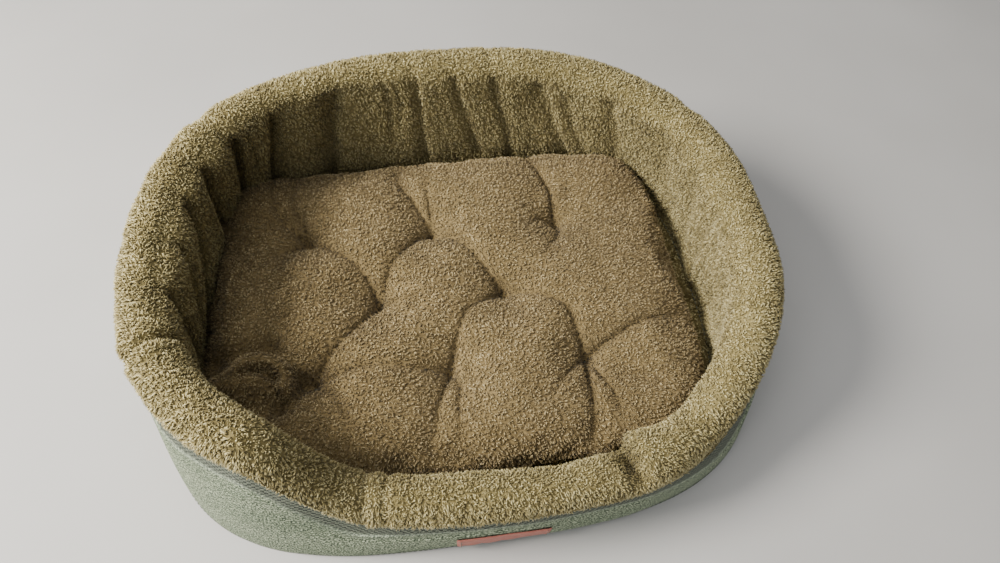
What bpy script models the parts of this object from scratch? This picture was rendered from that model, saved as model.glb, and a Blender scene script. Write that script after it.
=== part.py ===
"""Oval fabric pet bed: a foam wall in plush and woven covers, a padded floor and a loose tufted cushion.

Metres. X runs along the bed, Y from the low front to the back, Z up from the floor it stands on.
"""

import math

import bmesh
import bpy
import numpy as np
from mathutils import Vector
from mathutils.bvhtree import BVHTree

# Plan of the wall: a rounded rectangle at the floor that turns into a rounder oval at the rim.
FOOT_HALF = (0.330, 0.263)
FOOT_SQUARENESS = 3.2
RIM_HALF = (0.297, 0.237)
RIM_SQUARENESS = 2.4
RIM_SHIFT = (0.004, -0.002)
RIM_TWIST = math.radians(-3.0)

# Section of the wall.
RIM_RADIUS = 0.023
FOOT_THICKNESS = 0.047
WALL_BULGE = 0.003

# Height of the rim over the floor, with the low entry at the front.
HEIGHT_BACK = 0.200
HEIGHT_LEFT = 0.203
HEIGHT_RIGHT = 0.178
HEIGHT_ENTRY = 0.113
ENTRY_LEFT = -0.100
ENTRY_RIGHT = 0.200
ENTRY_SLOPE = 0.100

# Thickness of each layer, counted inwards from the outermost surface of the wall.
GAP = 0.0003
LOOSE_FIT = 0.0010
PLUSH = 0.0037
WOVEN = 0.0015
PLUSH_DROP = 0.030
SKIRT_TUCK = 0.006
SKIRT_LIFT = 0.0006

# The layers of the floor, from the ground up.
BOTTOM_COVER = 0.0015
BASE_FOAM = 0.013
FLOOR_LINING = 0.0025

# Sewing thread: its radius, and how far the base seam lies over the skirt's lower edge.
THREAD_RADIUS = 0.0005
THREAD_SIDES = 4
BASE_SEAM_LIFT = 3 * THREAD_RADIUS

# The loose cushion.
CUSHION_CENTRE = (-0.006, -0.002)
CUSHION_HALF = (0.255, 0.191)
CUSHION_SQUARENESS = 2.8
CUSHION_SEAM_Z = 0.040
CUSHION_RISE = 0.036
CUSHION_COVER = 0.0020
CUSHION_FLOAT = 0.0004
# Profile of its domes: how late each one turns down towards the seam, and how round it is there.
DOME_TOP_POWER = 4
DOME_BOTTOM_POWER = 8
DOME_ROUNDNESS = 2.2

# Thread ties that pull the cushion's two covers together, in rows of three, two and three.
TUFT_CENTRE = (-0.020, -0.002)
TUFT_PITCH = (0.149, 0.089)
TUFT_DEPTH_TOP = 0.008
TUFT_DEPTH_BOTTOM = 0.005
TUFT_SPREAD = 0.034
KNOT_RADIUS = 0.0030
KNOT_HEIGHT = 0.0016
KNOT_END_SHARE = 0.6
TIE_RADIUS = 0.0009
TIE_SIDES = 6

# Tag sewn on the front of the skirt.
LABEL_CENTRE = (0.013, 0.028)
LABEL_SIZE = (0.092, 0.028)
LABEL_THICKNESS = 0.0012
LABEL_COLUMNS = 9
LABEL_ROWS = 4
STITCH_LENGTH = 0.021
STITCH_INSET = 0.004
STITCH_END_SHARE = 0.5

# How finely the surfaces are divided: stations round the bed and the cushion, rows up the wall,
# and angles in degrees over the rolled rim, from its outer side.
STATIONS = 60
FOAM_ROWS = 4
FOAM_ARC = (22, 45, 66, 84)
LINING_ROWS = 5
LINING_ARC = (30, 60, 90, 120, 150)
SKIRT_ROWS = 5
CUSHION_STATIONS = 40
CUSHION_RINGS = 8
FINE_STEPS = 1440
SHARP_ANGLE = math.radians(40)
# Further out than any point of the bed.
FAR = 1.0

PLUSH_COLOUR = (0.40, 0.33, 0.17)
CUSHION_COLOUR = (0.36, 0.28, 0.15)
WOVEN_COLOUR = (0.16, 0.19, 0.14)
BASE_COLOUR = (0.05, 0.05, 0.05)
FOAM_COLOUR = (0.82, 0.80, 0.70)
FILL_COLOUR = (0.90, 0.90, 0.88)
TAG_COLOUR = (0.50, 0.16, 0.12)
THREAD_COLOUR = (0.10, 0.12, 0.09)


def clear_scene():
    for obj in list(bpy.data.objects):
        bpy.data.objects.remove(obj)


def fabric(name, colour, roughness=0.9):
    material = bpy.data.materials.new(name)
    material.use_nodes = True
    shader = material.node_tree.nodes["Principled BSDF"]
    shader.inputs["Base Color"].default_value = (*colour, 1.0)
    shader.inputs["Roughness"].default_value = roughness
    shader.inputs["Metallic"].default_value = 0.0
    return material


def add_object(name, points, faces, material):
    """A named object from points and faces, with every face turned outwards and shaded smooth."""
    mesh = bpy.data.meshes.new(name)
    mesh.from_pydata([tuple(point) for point in points], [], faces)
    solid = bmesh.new()
    solid.from_mesh(mesh)
    bmesh.ops.recalc_face_normals(solid, faces=solid.faces)
    solid.to_mesh(mesh)
    solid.free()
    mesh.shade_smooth()
    mesh.set_sharp_from_angle(angle=SHARP_ANGLE)
    mesh.materials.append(material)
    obj = bpy.data.objects.new(name, mesh)
    bpy.context.scene.collection.objects.link(obj)
    return obj


def smooth_step(value):
    value = np.clip(value, 0.0, 1.0)
    return value * value * (3 - 2 * value)


def superellipse(half, squareness, angles):
    cosine = np.cos(angles)
    sine = np.sin(angles)
    x = half[0] * np.sign(cosine) * np.abs(cosine) ** (2 / squareness)
    y = half[1] * np.sign(sine) * np.abs(sine) ** (2 / squareness)
    return np.stack([x, y], axis=1)


def even_angles(half, squareness, count):
    """Angles whose points lie at equal distances round a superellipse."""
    fine = np.linspace(0.0, 2 * math.pi, FINE_STEPS + 1)
    steps = np.diff(superellipse(half, squareness, fine), axis=0)
    travelled = np.concatenate([[0.0], np.cumsum(np.hypot(steps[:, 0], steps[:, 1]))])
    return np.interp(np.arange(count) / count * travelled[-1], travelled, fine)


def outward_normals(loop):
    along = np.roll(loop, -1, axis=0) - np.roll(loop, 1, axis=0)
    outward = np.stack([along[:, 1], -along[:, 0]], axis=1)
    return outward / np.linalg.norm(outward, axis=1, keepdims=True)


class Wall:
    """The wall's outer, inner and rolled rim surfaces, station by station round the bed."""

    def __init__(self):
        angles = even_angles(FOOT_HALF, FOOT_SQUARENESS, STATIONS)
        self.foot = superellipse(FOOT_HALF, FOOT_SQUARENESS, angles)
        self.foot_normal = outward_normals(self.foot)
        turn = np.array([[math.cos(RIM_TWIST), math.sin(RIM_TWIST)],
                         [-math.sin(RIM_TWIST), math.cos(RIM_TWIST)]])
        self.rim = superellipse(RIM_HALF, RIM_SQUARENESS, angles) @ turn + RIM_SHIFT
        self.rim_normal = outward_normals(self.rim)
        self.crest = self.crest_heights(np.sin(angles))
        self.roll_z = self.crest - RIM_RADIUS
        self.plush_edge = self.crest - PLUSH_DROP

    def crest_heights(self, sine):
        """Height of the rim's crest: level at the back, a little lower at the right, low at the entry."""
        x = self.rim[:, 0]
        side = HEIGHT_LEFT + (HEIGHT_RIGHT - HEIGHT_LEFT) * smooth_step((x / RIM_HALF[0] + 1) / 2)
        back_share = np.clip(sine, 0.0, 1.0) ** 2
        height = HEIGHT_BACK * back_share + side * (1 - back_share)
        rise_left = smooth_step((x - ENTRY_LEFT + ENTRY_SLOPE) / ENTRY_SLOPE)
        rise_right = smooth_step((ENTRY_RIGHT + ENTRY_SLOPE - x) / ENTRY_SLOPE)
        entry = rise_left * rise_right * (sine < 0)
        return height + (HEIGHT_ENTRY - height) * entry

    def outer(self, z, depth):
        """Points on the outside of the wall at height z, so far in from its outermost surface."""
        share = (z / self.roll_z)[:, None]
        low = self.foot - self.foot_normal * depth
        high = self.rim + self.rim_normal * (RIM_RADIUS - depth)
        bulge = self.rim_normal * WALL_BULGE * np.sin(math.pi * share)
        return self.lift(low + (high - low) * share + bulge, z)

    def inner(self, z, depth):
        """Points on the inside of the wall at height z, so far into the wall from its surface."""
        share = (z / self.roll_z)[:, None]
        low = self.foot - self.foot_normal * (FOOT_THICKNESS - depth)
        high = self.rim - self.rim_normal * (RIM_RADIUS - depth)
        return self.lift(low + (high - low) * share, z)

    def over(self, angle, depth):
        """Points on the rolled rim, from 0 at its outer side to pi at its inner side."""
        reach = (RIM_RADIUS - depth) * math.cos(angle)
        z = self.roll_z + (RIM_RADIUS - depth) * math.sin(angle)
        return self.lift(self.rim + self.rim_normal * reach, z)

    def lift(self, plan, z):
        return np.column_stack([plan, np.broadcast_to(z, STATIONS)])


def between(low, high, count):
    """Heights from low to high for every station, the ends included."""
    low = np.broadcast_to(low, STATIONS).astype(float)
    return [low + (high - low) * step / (count - 1) for step in range(count)]


def band_faces(here, there, columns, from_here):
    """Triangles between two rows. Their diagonals leave the first row, or else the second one."""
    faces = []
    for column in range(columns):
        after = (column + 1) % columns
        corners = (here + column, here + after, there + after, there + column)
        if from_here:
            faces += [(corners[0], corners[1], corners[2]), (corners[0], corners[2], corners[3])]
        else:
            faces += [(corners[0], corners[1], corners[3]), (corners[1], corners[2], corners[3])]
    return faces


def ring_solid(name, rows_a, rows_b, material):
    """A closed ring between two skins, each a list of rows that run right round the bed.

    Diagonals always leave the lower row, so that nested skins keep the same facets.
    """
    skin = np.array(list(rows_a) + list(rows_b)[::-1])
    rows, columns = skin.shape[:2]
    heights = skin[:, :, 2].mean(axis=1)
    faces = []
    for row in range(rows):
        after = (row + 1) % rows
        rising = heights[row] < heights[after]
        faces += band_faces(row * columns, after * columns, columns, rising)
    return add_object(name, skin.reshape(-1, 3), faces, material)


def layered_disc(name, rings, material):
    """A closed disc from rings that start at the top's centre and end at the bottom's centre.

    Diagonals always leave the smaller ring, so that nested discs keep the same facets.
    """
    columns = len(rings[0])
    points = [rings[0].mean(axis=0)]
    points += [point for ring in rings for point in ring]
    points.append(rings[-1].mean(axis=0))
    last = len(points) - 1
    bottom = last - columns
    reaches = [np.ptp(ring[:, 0]) for ring in rings]
    faces = []
    for column in range(columns):
        after = (column + 1) % columns
        faces.append((0, 1 + column, 1 + after))
        faces.append((last, bottom + after, bottom + column))
    for ring in range(len(rings) - 1):
        growing = reaches[ring] < reaches[ring + 1]
        here = 1 + ring * columns
        faces += band_faces(here, here + columns, columns, growing)
    return add_object(name, points, faces, material)


def thread_ring(name, centres, normals, material):
    """A thread laid round the bed through the given centres."""
    rows = []
    for side in range(THREAD_SIDES):
        angle = 2 * math.pi * side / THREAD_SIDES
        reach = normals * THREAD_RADIUS * math.cos(angle)
        rise = THREAD_RADIUS * math.sin(angle)
        rows.append(centres + np.column_stack([reach, np.full(len(reach), rise)]))
    return ring_solid(name, rows, [], material)


def make_wall_foam(wall, material):
    """The foam strip, bent round and butted, that stiffens the wall."""
    outside = PLUSH + WOVEN + GAP + LOOSE_FIT
    inside = PLUSH + LOOSE_FIT
    foot = BOTTOM_COVER + GAP
    top_angles = [math.radians(angle) for angle in FOAM_ARC]
    outer_rows = [wall.outer(z, outside) for z in between(foot, wall.roll_z, FOAM_ROWS)]
    outer_rows += [wall.over(angle, outside) for angle in top_angles]
    inner_rows = [wall.inner(z, inside) for z in between(foot, wall.roll_z, FOAM_ROWS)]
    inner_rows += [wall.over(math.pi - angle, inside) for angle in top_angles]
    return ring_solid("wall_foam", outer_rows, inner_rows, material)


def make_wall_lining(wall, material):
    """Plush from the floor up the inside, over the rolled rim and down the outside to its seam."""
    arc = [math.radians(angle) for angle in LINING_ARC]

    def skin(depth):
        rows = [wall.outer(z, depth) for z in between(wall.plush_edge, wall.roll_z, 2)]
        rows += [wall.over(angle, depth) for angle in arc]
        heights = between(BOTTOM_COVER + GAP, wall.roll_z, LINING_ROWS)
        return rows + [wall.inner(z, depth) for z in reversed(heights)]

    return ring_solid("wall_lining", skin(0.0), skin(PLUSH), material)


def make_outer_skirt(wall, material):
    """Woven cloth round the outside, its top edge tucked under the plush."""
    outside = PLUSH + GAP
    heights = between(SKIRT_LIFT, wall.plush_edge + SKIRT_TUCK, SKIRT_ROWS)
    skins = [[wall.outer(z, depth) for z in heights] for depth in (outside, outside + WOVEN)]
    return ring_solid("outer_skirt", *skins, material)


def make_bottom_cover(wall, material):
    edge = PLUSH + WOVEN + 2 * GAP
    rings = [wall.outer(z, edge) for z in between(BOTTOM_COVER, 0.0, 2)]
    return layered_disc("bottom_cover", rings, material)


def make_floor_layer(wall, name, low, thickness, material):
    """A sheet that fills the floor inside the wall's lining."""
    rings = [wall.inner(z, -LOOSE_FIT) for z in between(low + thickness, low, 2)]
    return layered_disc(name, rings, material)


def make_seams(wall, material):
    """The sewing thread of the rim seam, the base seam and the floor seam."""
    on_skirt = PLUSH - THREAD_RADIUS
    rim_z = wall.plush_edge - GAP - 2 * THREAD_RADIUS
    base_z = np.full(STATIONS, SKIRT_LIFT + BASE_SEAM_LIFT)
    floor_z = np.full(STATIONS, floor_top() + GAP + THREAD_RADIUS)
    thread_ring("rim_seam_thread", wall.outer(rim_z, on_skirt), wall.rim_normal, material)
    thread_ring("base_seam_thread", wall.outer(base_z, on_skirt), wall.foot_normal, material)
    inside = wall.inner(floor_z, -GAP - THREAD_RADIUS)
    thread_ring("floor_seam_thread", inside, wall.foot_normal, material)


def floor_top():
    return BOTTOM_COVER + GAP + BASE_FOAM + GAP + FLOOR_LINING


def tuft_places():
    """Centres of the eight ties."""
    x, y = TUFT_CENTRE
    pitch_x, pitch_y = TUFT_PITCH
    rows = [(pitch_y, (-1, 0, 1)), (0.0, (-0.5, 0.5)), (-pitch_y, (-1, 0, 1))]
    return [(x + step * pitch_x, y + row_y) for row_y, steps in rows for step in steps]


def tuft_pull(plan):
    """How strongly the ties pull each point of the cushion in, from 0 to 1."""
    pull = np.zeros(len(plan))
    for place in tuft_places():
        distance = np.hypot(*(plan - place).T)
        pull = np.maximum(pull, np.exp(-((distance / TUFT_SPREAD) ** 2)))
    return pull


class Cushion:
    """Nested domes above and below the cushion's seam, each a given depth inside its covers."""

    def __init__(self):
        angles = even_angles(CUSHION_HALF, CUSHION_SQUARENESS, CUSHION_STATIONS)
        self.outline = superellipse(CUSHION_HALF, CUSHION_SQUARENESS, angles)
        self.normal = outward_normals(self.outline)
        steps = np.arange(1, CUSHION_RINGS + 1) / CUSHION_RINGS
        self.reach = np.sin(steps * math.pi / 2)
        self.sink = CUSHION_SEAM_Z - floor_top() - CUSHION_FLOAT

    def ring(self, reach, upper, depth, seam_offset):
        """One ring of a dome: reach is 0 at its centre and 1 at the seam."""
        plan = self.outline * reach
        pull = tuft_pull(plan + CUSHION_CENTRE)
        plan = plan - self.normal * depth * reach + CUSHION_CENTRE
        if upper:
            dome = (1 - reach**DOME_TOP_POWER) ** (1 / DOME_ROUNDNESS)
            z = CUSHION_SEAM_Z + (CUSHION_RISE - depth) * dome - TUFT_DEPTH_TOP * pull * dome
        else:
            dome = (1 - reach**DOME_BOTTOM_POWER) ** (1 / DOME_ROUNDNESS)
            z = CUSHION_SEAM_Z - (self.sink - depth) * dome + TUFT_DEPTH_BOTTOM * pull * dome
        return np.column_stack([plan, z + seam_offset])

    def dome(self, upper, depth, seam_offset):
        return [self.ring(reach, upper, depth, seam_offset) for reach in self.reach]


def make_cushion(cushion, cover_material, fill_material):
    """The two covers, sewn together at the seam, and the fibre fill between them."""
    half_gap = GAP / 2
    for name, upper, offset in (("cushion_top_cover", True, half_gap),
                                ("cushion_bottom_cover", False, -half_gap)):
        outside = cushion.dome(upper, 0.0, offset)
        inside = cushion.dome(upper, CUSHION_COVER, offset)
        layered_disc(name, outside + inside[::-1], cover_material)
    fill_depth = CUSHION_COVER + 2 * GAP
    upper_fill = cushion.dome(True, fill_depth, half_gap)
    lower_fill = cushion.dome(False, fill_depth, -half_gap)
    layered_disc("cushion_fill", upper_fill + lower_fill[::-1], fill_material)


def height_at(name, x, y, radius, from_above):
    """The highest or the lowest point of an object's mesh within a radius of x, y."""
    mesh = bpy.data.objects[name].data
    corners = [vertex.co for vertex in mesh.vertices]
    tree = BVHTree.FromPolygons(corners, [polygon.vertices[:] for polygon in mesh.polygons])
    start = FAR if from_above else -FAR
    found = []
    for step in range(TIE_SIDES + 1):
        reach = radius * min(step, 1)
        angle = 2 * math.pi * step / TIE_SIDES
        origin = Vector((x + reach * math.cos(angle), y + reach * math.sin(angle), start))
        found.append(tree.ray_cast(origin, Vector((0, 0, -start)))[0].z)
    return max(found) if from_above else min(found)


def turned_piece(name, x, y, profile, sides, material):
    """A closed turned piece from radius and height pairs, the lowest first."""
    rings = []
    for radius, z in reversed(profile):
        angles = 2 * math.pi * np.arange(sides) / sides
        rings.append(np.column_stack([x + radius * np.cos(angles), y + radius * np.sin(angles),
                                      np.full(sides, z)]))
    return layered_disc(name, rings, material)


def make_ties(material):
    """A thread tie with a knot at each end, through both covers and the fill, at each tuft."""
    cushion_nodes = ("cushion_top_cover", "cushion_fill", "cushion_bottom_cover")
    cutters = []
    for number, (x, y) in enumerate(tuft_places(), start=1):
        top = height_at("cushion_top_cover", x, y, KNOT_RADIUS, True) + GAP
        bottom = height_at("cushion_bottom_cover", x, y, KNOT_RADIUS, False) - GAP
        knot_end = KNOT_RADIUS * KNOT_END_SHARE
        profile = [(knot_end, bottom - KNOT_HEIGHT), (KNOT_RADIUS, bottom - KNOT_HEIGHT / 2),
                   (KNOT_RADIUS, bottom), (TIE_RADIUS, bottom), (TIE_RADIUS, top),
                   (KNOT_RADIUS, top), (KNOT_RADIUS, top + KNOT_HEIGHT / 2),
                   (knot_end, top + KNOT_HEIGHT)]
        turned_piece(f"tuft_tie_{number}", x, y, profile, TIE_SIDES, material)
        hole_radius = TIE_RADIUS + 2 * GAP
        hole = [(hole_radius, 0.0), (hole_radius, HEIGHT_LEFT)]
        cutters.append(turned_piece(f"tie_hole_{number}", x, y, hole, TIE_SIDES, material))
    for cutter in cutters:
        cutter.hide_render = True
        cutter.display_type = "WIRE"
        for name in cushion_nodes:
            cut = bpy.data.objects[name].modifiers.new(cutter.name, "BOOLEAN")
            cut.operation = "DIFFERENCE"
            cut.object = cutter


def make_label(tag_material, thread_material):
    """The tag on the front of the skirt and the thread bar that holds each of its ends."""
    mesh = bpy.data.objects["outer_skirt"].data
    corners = [vertex.co for vertex in mesh.vertices]
    tree = BVHTree.FromPolygons(corners, [polygon.vertices[:] for polygon in mesh.polygons])

    def skirt_y(x, z):
        return tree.ray_cast(Vector((x, -FAR, z)), Vector((0, 1, 0)))[0].y

    across = np.linspace(-0.5, 0.5, LABEL_COLUMNS) * LABEL_SIZE[0] + LABEL_CENTRE[0]
    up = np.linspace(-0.5, 0.5, LABEL_ROWS) * LABEL_SIZE[1] + LABEL_CENTRE[1]
    face = np.array([[(x, skirt_y(x, z), z) for x in across] for z in up])
    bow = max(abs(np.diff(face[:, :, 1], 2, axis=axis)).max() for axis in (0, 1))
    back = face - (0, GAP + bow, 0)
    front = back - (0, LABEL_THICKNESS, 0)
    sheet_solid("label_tag", front, back, tag_material)
    for name, column in (("label_stitch_left", 0), ("label_stitch_right", -1)):
        inwards = STITCH_INSET if column == 0 else -STITCH_INSET
        x = across[column] + inwards
        middle = front[:, column, 1].min() - GAP - bow - THREAD_RADIUS
        low = LABEL_CENTRE[1] - STITCH_LENGTH / 2
        stitch_end = THREAD_RADIUS * STITCH_END_SHARE
        profile = [(stitch_end, low), (THREAD_RADIUS, low + THREAD_RADIUS),
                   (THREAD_RADIUS, low + STITCH_LENGTH - THREAD_RADIUS),
                   (stitch_end, low + STITCH_LENGTH)]
        turned_piece(name, x, middle, profile, TIE_SIDES, thread_material)


def sheet_solid(name, front, back, material):
    """A closed sheet between two grids of points with the same rows and columns."""
    rows, columns = front.shape[:2]
    count = rows * columns
    points = np.concatenate([front.reshape(-1, 3), back.reshape(-1, 3)])
    faces = []
    for row in range(rows - 1):
        for column in range(columns - 1):
            corner = row * columns + column
            quad = (corner, corner + 1, corner + columns + 1, corner + columns)
            faces.append(quad)
            faces.append(tuple(index + count for index in reversed(quad)))
    rim = list(range(columns))
    rim += [row * columns + columns - 1 for row in range(1, rows)]
    rim += [(rows - 1) * columns + column for column in reversed(range(columns - 1))]
    rim += [row * columns for row in reversed(range(1, rows - 1))]
    for here, there in zip(rim, rim[1:] + rim[:1]):
        faces.append((here, here + count, there + count, there))
    return add_object(name, points, faces, material)


def centre_on_origin():
    """Moves the bed so that the middle of its bounding box stands over the origin."""
    solids = [obj for obj in bpy.data.objects if obj.type == "MESH"]
    shown = [vertex.co for obj in solids if not obj.hide_render for vertex in obj.data.vertices]
    middle_x = (min(co.x for co in shown) + max(co.x for co in shown)) / 2
    middle_y = (min(co.y for co in shown) + max(co.y for co in shown)) / 2
    for obj in solids:
        for vertex in obj.data.vertices:
            vertex.co.x -= middle_x
            vertex.co.y -= middle_y


def main():
    clear_scene()
    plush = fabric("plush", PLUSH_COLOUR)
    cushion_plush = fabric("cushion_plush", CUSHION_COLOUR)
    woven = fabric("woven", WOVEN_COLOUR)
    base_cloth = fabric("base_cloth", BASE_COLOUR, 0.8)
    foam = fabric("foam", FOAM_COLOUR)
    fibre = fabric("fibre", FILL_COLOUR)
    tag = fabric("tag", TAG_COLOUR, 0.55)
    thread = fabric("thread", THREAD_COLOUR, 0.7)

    wall = Wall()
    make_bottom_cover(wall, base_cloth)
    make_floor_layer(wall, "base_foam", BOTTOM_COVER + GAP, BASE_FOAM, foam)
    lining_low = BOTTOM_COVER + GAP + BASE_FOAM + GAP
    make_floor_layer(wall, "floor_lining", lining_low, FLOOR_LINING, plush)
    make_wall_foam(wall, foam)
    make_wall_lining(wall, plush)
    make_outer_skirt(wall, woven)
    make_seams(wall, thread)
    make_label(tag, thread)
    make_cushion(Cushion(), cushion_plush, fibre)
    make_ties(thread)
    centre_on_origin()


main()
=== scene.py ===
"""Looks of the oval fabric pet bed: fleece wall and rim, woven skirt, tufted loose cushion.

Metres. The shapes are worked out in the frame of the CAD's construction, whose origin is the
middle of the bottom cover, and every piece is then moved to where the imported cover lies.
"""

import itertools
import math
from typing import NamedTuple

import bpy
import numpy as np
from mathutils import Matrix, Vector
from mathutils.kdtree import KDTree


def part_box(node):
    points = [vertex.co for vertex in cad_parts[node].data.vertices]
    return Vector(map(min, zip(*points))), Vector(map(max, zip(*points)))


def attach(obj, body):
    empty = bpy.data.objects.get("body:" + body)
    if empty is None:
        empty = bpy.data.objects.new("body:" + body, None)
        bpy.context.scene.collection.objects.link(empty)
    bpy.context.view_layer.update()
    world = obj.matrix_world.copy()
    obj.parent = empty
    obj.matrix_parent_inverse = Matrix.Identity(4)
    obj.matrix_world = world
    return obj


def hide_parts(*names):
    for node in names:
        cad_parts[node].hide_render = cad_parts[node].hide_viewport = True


# Plan of the wall, as the CAD has it.
FOOT_HALF = (0.330, 0.263)
FOOT_SQUARENESS = 3.2
RIM_HALF = (0.297, 0.237)
RIM_SQUARENESS = 2.4
RIM_SHIFT = (0.004, -0.002)
RIM_TWIST = math.radians(-3.0)
RIM_RADIUS = 0.023
FOOT_THICKNESS = 0.047
WALL_BULGE = 0.003
HEIGHT_BACK = 0.200
HEIGHT_LEFT = 0.203
HEIGHT_RIGHT = 0.178
HEIGHT_ENTRY = 0.113
ENTRY_LEFT = -0.100
ENTRY_RIGHT = 0.200
ENTRY_SLOPE = 0.100
GAP = 0.0003
PLUSH = 0.0037
PLUSH_DROP = 0.0245
SKIRT_TUCK = 0.003
SKIRT_LIFT = 0.0006
SKIRT_THICKNESS = 0.0010
SKIRT_ROWS = 64
FLOOR_TOP = 0.0176
FLOOR_UNDERSIDE = 0.0030
FLOOR_OVERLAP = 0.004
BASE_INSET = 0.0065
BASE_UNDERSIDE = 0.0008
BASE_THICKNESS = 0.0010
DOT_SPACING = 0.014
DOT_RADIUS = 0.0016
DOT_DROP = 0.0008
DOT_SUNK = 0.0001
DOT_SIDES = 8
# Rings of a dot, from its foot to its top: shares of its radius and of its height.
DOT_RINGS = ((1.0, 0.0), (0.75, 0.7), (0.25, 1.0))
DOT_EDGE = 0.93
FINE_STEPS = 2880
FAR = 9.0
TINY = 1e-9

# Where the wall stands further out and its fleece hangs lower than elsewhere: by the low entry's
# right end.
SWELL_PLACE = (0.165, -0.205)
SWELL = 0.0045
SWELL_REACH = 0.085
HEM_SAG = 0.0100

# The skirt's weave, and the dotted band with a pale seam under it that follows the rim; the band
# is darkened as the rim's painted shadow.
YARN_PITCH = 0.0012
DOT_PITCH = 0.0030
BAND_DEPTH = 0.026
BAND_BLUR = 0.002
BAND_SEAM_DROP = 0.0020
BAND_SEAM_WIDTH = 0.0011
BAND_SEAM_SHADE = 0.30
# Waves that a wave texture makes in one unit of its scale, as an angle.
WAVES_PER_SCALE = 20

# Wrinkles of the skirt: how deep they are, and how long round the bed and how high one is.
SEAM_PUCKER = 0.0016
BASE_PUCKER = 0.0009
PUCKER_LENGTH = 0.016
PUCKERS_UP = 2.5
SLACK_WAVE = 0.0026
SLACK_LENGTH = 0.070
SLACKS_UP = 1.5
DRAG_WAVE = 0.0013
DRAG_LENGTH = 0.075
DRAG_HEIGHT = 0.0075
DRAG_BELOW_BAND = 0.008
DRAG_REACH = 0.018
# How far up from the foot, or down from the rim seam, each kind is felt, as a share of the height.
SEAM_PUCKER_REACH = 0.16
BASE_PUCKER_REACH = 0.08
BASE_PULL = 0.0016
BASE_PULL_REACH = 0.05
BAND_GROOVE = 0.0008
BAND_GROOVE_WIDTH = 0.0016
SKIRT_CALM_FOOT = 0.25
SKIRT_CALM_RISE = 6

# How finely the backing of the fleece is meshed: columns round the bed, rows in each part.
STATIONS = 780
COARSE_STATIONS = 720
CORE_ROWS = 5
HEM_ROWS = 3
EDGE_ROWS = 6
ROLL_ROWS = 34
INNER_ROWS = 72
INNER_FOOT = 0.012
CORE_FOOT = 0.004
CORE_DEPTH = 0.0066
CORE_TOP_DROP = 0.002
# The fleece's turned-in hem: height over the fleece's lower edge, and depth under its face.
HEM_LINES = ((0.004, 0.0036), (0.0, 0.0034), (-0.001, 0.0014))
HEM_PINCH = 0.0014
HEM_PINCH_ROWS = 4
# Where, on the way over the roll, the inside begins, and how far on it is reached.
INSIDE_START = (0.75, 0.35)
# The roll's share grows over this many rows past the hem, and ends this share down the inside.
ROLL_START_ROWS = 5
ROLL_END = 0.22


class Pile(NamedTuple):
    """A fleece pile: how far apart its strands stand and their clumps lie, and how strongly the
    strands of a clump lean together."""

    spacing: float
    length: float
    clump: float
    thickness: float
    pinch: float


RIM_PILE = Pile(spacing=0.00172, length=0.0041, clump=0.0037, thickness=0.00068, pinch=0.62)
NEST_PILE = Pile(spacing=0.00200, length=0.0040, clump=0.0044, thickness=0.00062, pinch=0.80)
CUSHION_PILE = Pile(spacing=0.00186, length=0.0037, clump=0.0039, thickness=0.00058, pinch=0.84)
FLOOR_PILE = Pile(spacing=0.00290, length=0.0046, clump=0.0062, thickness=0.00095, pinch=0.70)
# The backing lies this far under the surface that the pile stands for.
PILE_SINK = 0.0024
CUSHION_PILE_SINK = 0.0016
FLOOR_PILE_SINK = 0.0010
# Each pile is one piece for each quarter of the plan, with a seed of its own.
QUARTERS = ("front_left", "front_right", "back_left", "back_right")
RIM_SEED = 1
NEST_SEED = 5
CUSHION_SEED = 21
FLOOR_SEED = 41
SCATTER_SEED = 1000

# A strand: share of its length stood up and leant over at its root, middle and tip, the width at
# its root and middle, and its tones, darkest at the root as painted shade.
STRAND_SIDES = 3
STRAND_RISE = (-0.25, 0.46, 0.72)
STRAND_LEAN = (0.0, 0.16, 0.60)
STRAND_WIDTH = (1.0, 0.90)
STRAND_TONES = (0.12, 0.50, 0.95)
# What a strand's length, width and tone are at the least, and what chance adds to them at the most.
LENGTH_CHANCE = (0.7, 0.6)
WIDTH_CHANCE = (0.8, 0.5)
TONE_CHANCE = (0.90, 0.28)
# Painted shade: how much darker a strand is the further it stands from its clump's middle.
CLUMP_EDGE = 0.6
CLUMP_EDGE_SHADE = 0.34
CLUMP_EDGE_MOST = 1.3
SWIRL = 0.9
SWIRL_SIZE = 0.0065
STRAY = 0.35

# How the wall's pile is combed down the outside and up the inside, and shortened at its hem.
COMB_OUTSIDE = -0.75
COMB_INSIDE = 0.25
COMB_END = 1.05
COMB_MOST = 1.1
COMB_POWER = 1.5
HEM_SHORTER = 0.45
HEM_SHORTER_ROWS = 3.0
TOP_SHORTER = 0.1
TOP_START = (0.30, 0.45)

# Lumps of the fleece's backing: height, size and seed.
WALL_LUMPS = ((0.0016, 0.080, 11), (0.0007, 0.032, 12))
# Its slack waves on the inside: height, length round the bed, length up the wall and seed.
WALL_WAVES = ((0.0012, 0.026, 0.150, 21), (0.0026, 0.060, 0.220, 22))
WALL_NUBS = 0.0006
WALL_NUB_SIZE = 0.0045
# Pile value of the backing: low, so that it takes the fleece's dark valley colour as painted shade
# under the strands.
WALL_TONE = (0.20, 0.10)

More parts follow.
